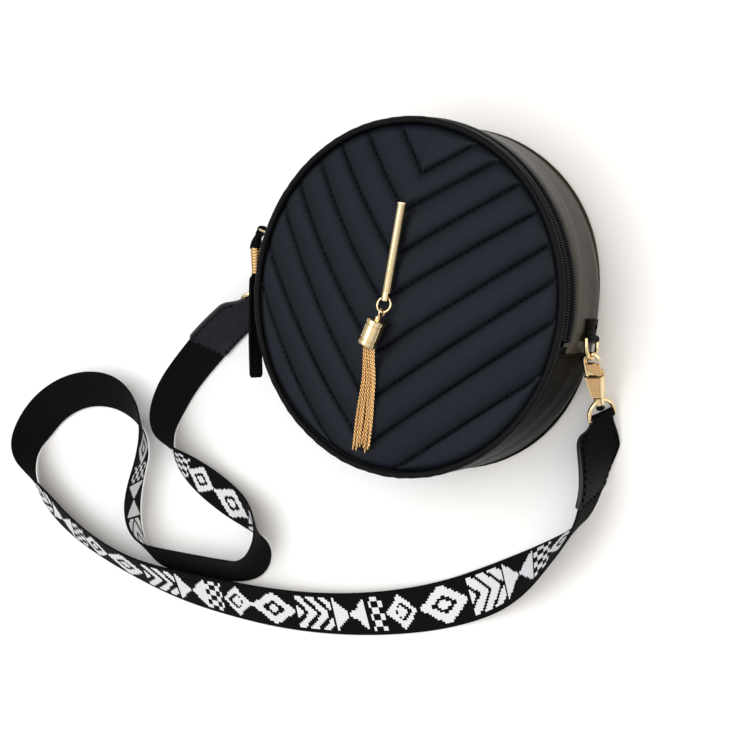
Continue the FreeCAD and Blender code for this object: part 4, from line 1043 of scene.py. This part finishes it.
def make_chains():
    shape = Shape()
    oval = round_section(8)
    columns = STRANDS // 2
    t = np.linspace(0, 1, 200)
    for index in range(STRANDS):
        turn = math.pi * (index + 0.5) / columns
        above = index < columns
        column = columns - 1 - index if above else index - columns
        spread = CHAIN_FAN * (2 * column / (columns - 1) - 1) + draw.uniform(-0.4, 0.4)
        wave, swing = Ripple(3, 0.06, 0.2), draw.uniform(0.15, 0.4)
        end_y = CHAIN_END[1] + draw.uniform(-1.6, 4.2)
        y = CHAIN_START[1] + (end_y - CHAIN_START[1]) * t
        loose = smooth(t * 1.15)
        held_x = CHAIN_START[0] + CHAIN_CIRCLE * math.cos(turn)
        held_z = CHAIN_START[2] + CHAIN_CIRCLE * math.sin(turn)
        x = held_x * (1 - loose) + (CHAIN_END[0] + spread) * loose + swing * wave(y) * t
        rest = crown(x, y) + CHAIN_LIFT + (CHAIN_LAYER if above else 0.0)
        laid = smooth(t / 0.42)
        z = held_z * (1 - laid) + rest * laid
        path = np.stack([x, y, z], 1)
        run_here = lengths(path)
        spots = np.arange(0.4, run_here[-1] - 1.0, LINK_PITCH)
        points = points_at(path, run_here, spots)
        forward, side, out = carry(points)
        for number, place in enumerate(points):
            flank = side[number] if number % 2 else out[number]
            ring = place + oval[:, :1] * LINK_LONG * forward[number] + oval[:, 1:] * LINK_WIDE * flank
            tube(shape, ring, LINK_WIRE, 4, True, up=np.cross(forward[number], flank))
        turned(shape, path[-1], path[-1] - path[-4], CHAIN_TIP, 10)
    return shape.build("tassel_chain_gold", [CHAIN])


finish(make_chains(), "tassel", "gold_metal", "tassel_chains")


# Zip slider: two plates, the wedge between them and a wire bail that holds the pull
SLIDER_ANGLE = 169.0
SLIDER_HALF = 3.2
SLIDER_PLATES = ((106.25, 107.5), (99.35, 100.65))  # inner and outer radius of each plate
SLIDER_TALL = 3.9
WEDGE_HALF = 0.25
BAIL_HALF = 3.3
BAIL_WIRE = 0.75
BAIL_FOOT = 107.2
PULL_PIN = joint_place("pull_swing")


def make_slider():
    shape = Shape()
    angles = np.linspace(SLIDER_ANGLE - SLIDER_HALF, SLIDER_ANGLE + SLIDER_HALF, 13)
    taper = 1 - 0.22 * np.abs(np.linspace(-1, 1, 13)) ** 3
    for inner, outer in SLIDER_PLATES:
        corners = mirrored([(inner, -SLIDER_TALL), (outer - 0.4, -SLIDER_TALL), (outer, 0.5 - SLIDER_TALL)])
        band(shape, angles, [[(r, ZIP_HEIGHT + z * share) for r, z in corners] for share in taper])
    low, high = ZIP_HEIGHT - WEDGE_HALF, ZIP_HEIGHT + WEDGE_HALF
    band(shape, angles[:7], [[(99.5, low), (107.0, low), (107.0, high), (99.5, high)]] * 7)
    out = unit(PULL_PIN * (1, 1, 0))
    foot = np.linalg.norm(PULL_PIN[:2]) - BAIL_FOOT
    # half of the wire's bends: how far in from the pin and how high
    bends = [(foot, BAIL_HALF), (1.2, BAIL_HALF), (0.3, BAIL_HALF - 0.4), (0.0, 2.2)]
    bail = [PULL_PIN - out * inward + UP * z for inward, z in mirrored(bends)]
    tube(shape, bail, BAIL_WIRE, 10, up=np.cross(UP, out))
    return shape.build("slider_gold", [GOLD])


finish(make_slider(), "slider", "gold_metal", "zip_slider")


# Zip pull: folded loop on the slider's pin, strip below the ferrule
NECK_WAY = math.radians(SLIDER_ANGLE + 74.4)
STRIP_WAY = math.radians(SLIDER_ANGLE + 112.3)
LOOP_RADIUS = 1.9
LOOP_HALF = 2.1
LOOP_THICK = 0.62
NECK_LENGTH = 8.0
STRIP_THICK = 1.1
FERRULE_START = 5.0
STRIP_START = 20.5
STRIP_END = 87.0


def flat_sweep(shape, path, half_widths, half_thick, power=7.0):
    """Strap of varying width along a path, standing on its edge."""
    forward = unit(np.gradient(path, axis=0))
    wide = unit(UP - forward * forward[:, 2:])
    out = np.cross(forward, wide)
    half = np.broadcast_to(half_widths, len(path))[:, None]
    thick = np.broadcast_to(half_thick, len(path))[:, None]
    loft(shape, swept(path, strap_section(28, power), half * wide, thick * out))
    return wide, out


def make_pull():
    shape = Shape()
    neck = polar(1.0, NECK_WAY)
    strip = polar(1.0, STRIP_WAY)
    flank = np.cross(UP, neck)
    turn = np.radians(np.linspace(-115, 115, 17))[:, None]
    loop = PULL_PIN - neck * LOOP_RADIUS * np.cos(turn) + flank * LOOP_RADIUS * np.sin(turn)
    legs = [PULL_PIN + neck * 4.5 + flank * side for side in (-1.2, 1.2)]
    flat_sweep(shape, np.concatenate([legs[:1], loop, legs[1:]]), LOOP_HALF, LOOP_THICK)
    fold = PULL_PIN + neck * NECK_LENGTH
    # the loop's two ends are gathered into the ferrule
    t = np.linspace(0, 1, 14)[:, None]
    start = PULL_PIN + neck * 2.6
    gather = (1 - t) ** 2 * start + 2 * t * (1 - t) * fold + t**2 * (fold + strip * (FERRULE_START + 0.6))
    grown = smooth(t[:, 0])
    flat_sweep(shape, gather, LOOP_HALF + 1.2 * grown, 1.5 + 1.9 * grown, power=4.0)
    rest = np.linspace(STRIP_START, STRIP_END, 36)
    share = (rest - STRIP_START) / (STRIP_END - STRIP_START)
    path = fold + rest[:, None] * strip - (0.8 * np.sin(math.pi * share))[:, None] * np.cross(UP, strip)
    half = 2.4 + 3.6 * smooth(share / 0.07)
    half = half - 1.6 * np.clip(1 - (STRIP_END - rest) / 2.4, 0, 1) ** 2
    wide, out = flat_sweep(shape, path, half, STRIP_THICK)
    inside = slice(4, -1)
    for face in (1, -1):
        for edge in (1, -1):
            row = path + wide * (edge * (half - 1.5))[:, None] + out * face * STRIP_THICK
            stitches(shape, row[inside], out[inside] * face, FINE_STITCH, 1)
    return shape.build("pull_strip", [GRAIN, THREAD])


finish(make_pull(), "pull", "leather", "pull_leather")


# Leather tabs that hold the side rings
TAB_SPAN = {"right": (-0.2, 4.9), "left": (175.1, 180.2)}
TAB_PROFILE = [(104.3, 18.6), (106.0, 18.6), (106.4, 19.1), (106.5, 25.0), (106.4, 30.9), (106.0, 31.4),
               (104.3, 31.4)]
TAB_SLEEVE = np.linspace(18.55, 31.45, 9)
TAB_SEAMS = (20.6, 29.4)
TAB_SEWN_R = 106.45


def make_tab(side):
    shape = Shape()
    start, end = TAB_SPAN[side]
    band(shape, np.linspace(start, end, 26), [TAB_PROFILE] * 26)
    sleeve = joint_place(f"ring_turn_{side}") * (1, 1, 0) + UP * TAB_SLEEVE[:, None]
    tube(shape, sleeve, [2.2] + [2.5] * 7 + [2.2], 18, up=(1, 0, 0))
    out = polar(1.0, np.radians(np.linspace(start + 1.2, end - 0.6, 30)))
    for height in TAB_SEAMS:
        stitches(shape, out * TAB_SEWN_R + UP * height, out, FINE_STITCH, 1)
    # The tabs take the leather darkened as painted shade.
    tab = shape.build(f"ring_tab_leather_{side}", [SHADE_PAINTED_LEATHER, THREAD])
    finish(tab, "bag", "leather", f"ring_tab_{side}")


for side_name in ("right", "left"):
    make_tab(side_name)

# Solids that show as they are
SHOWN = {"bar_washers": GOLD, "jump_ring": GOLD, "pull_ferrule": BRASS, "zip_stops": NYLON}
SHOWN.update({f"{name}_{side}": GOLD for name in ("d_ring", "strap_loop") for side in SIDES})
for name, material in SHOWN.items():
    solid = frame["nodes"][name]
    solid.data.materials.clear()
    solid.data.materials.append(material)


# Floor and soft studio light
FLOOR_COLOR = (0.97, 0.97, 0.97)
FLOOR_HALF = 40000.0
HORIZON_COLOR = (0.24, 0.24, 0.25)
TOP_COLOR = (1.0, 1.0, 1.0)
SKY_STRENGTH = 0.96
shape = Shape()
corners = FLOOR_HALF * np.array([(-1, -1, 0), (1, -1, 0), (1, 1, 0), (-1, 1, 0)])
shape.add(corners, [(0, 1, 2, 3)], 0, corners[:, :2])
floor_material, _, _ = shader("floor_paper", FLOOR_COLOR, 0.9, gloss=0.1)
floor = shape.build("floor", [floor_material])

world = bpy.data.worlds.new("studio")
world.use_nodes = True
sky = world.node_tree
way = node(sky, "ShaderNodeSeparateXYZ", Vector=node(sky, "ShaderNodeTexCoord").outputs["Generated"])
height = ranged(sky, way.outputs["Z"], 0.0, 1.0, 0.05, 0.75)
backdrop = sky.nodes["Background"]
sky.links.new(mixed(sky, height, HORIZON_COLOR, TOP_COLOR), backdrop.inputs["Color"])
backdrop.inputs["Strength"].default_value = SKY_STRENGTH
scene.world = world


def area_light(name, place, target, size, power, color=(1.0, 1.0, 1.0)):
    data = bpy.data.lights.new(name, "AREA")
    data.shape = "RECTANGLE"
    data.size, data.size_y = size
    data.energy = power
    data.color = color
    obj = bpy.data.objects.new(name, data)
    scene.collection.objects.link(obj)
    back = unit(np.subtract(place, target))
    right = unit(np.cross((0.0, 1.0, 0.02), back))
    obj.matrix_world = Matrix((right, np.cross(back, right), back)).transposed().to_4x4()
    obj.location = place


area_light("key", (-0.5, 0.05, 1.6), (0.0, 0.0, 0.05), (1.0, 1.8), 10.0)
area_light("fill", (1.3, 0.5, 1.2), (0.0, 0.0, 0.03), (1.6, 1.2), 12.0, (1.0, 0.90, 0.76))
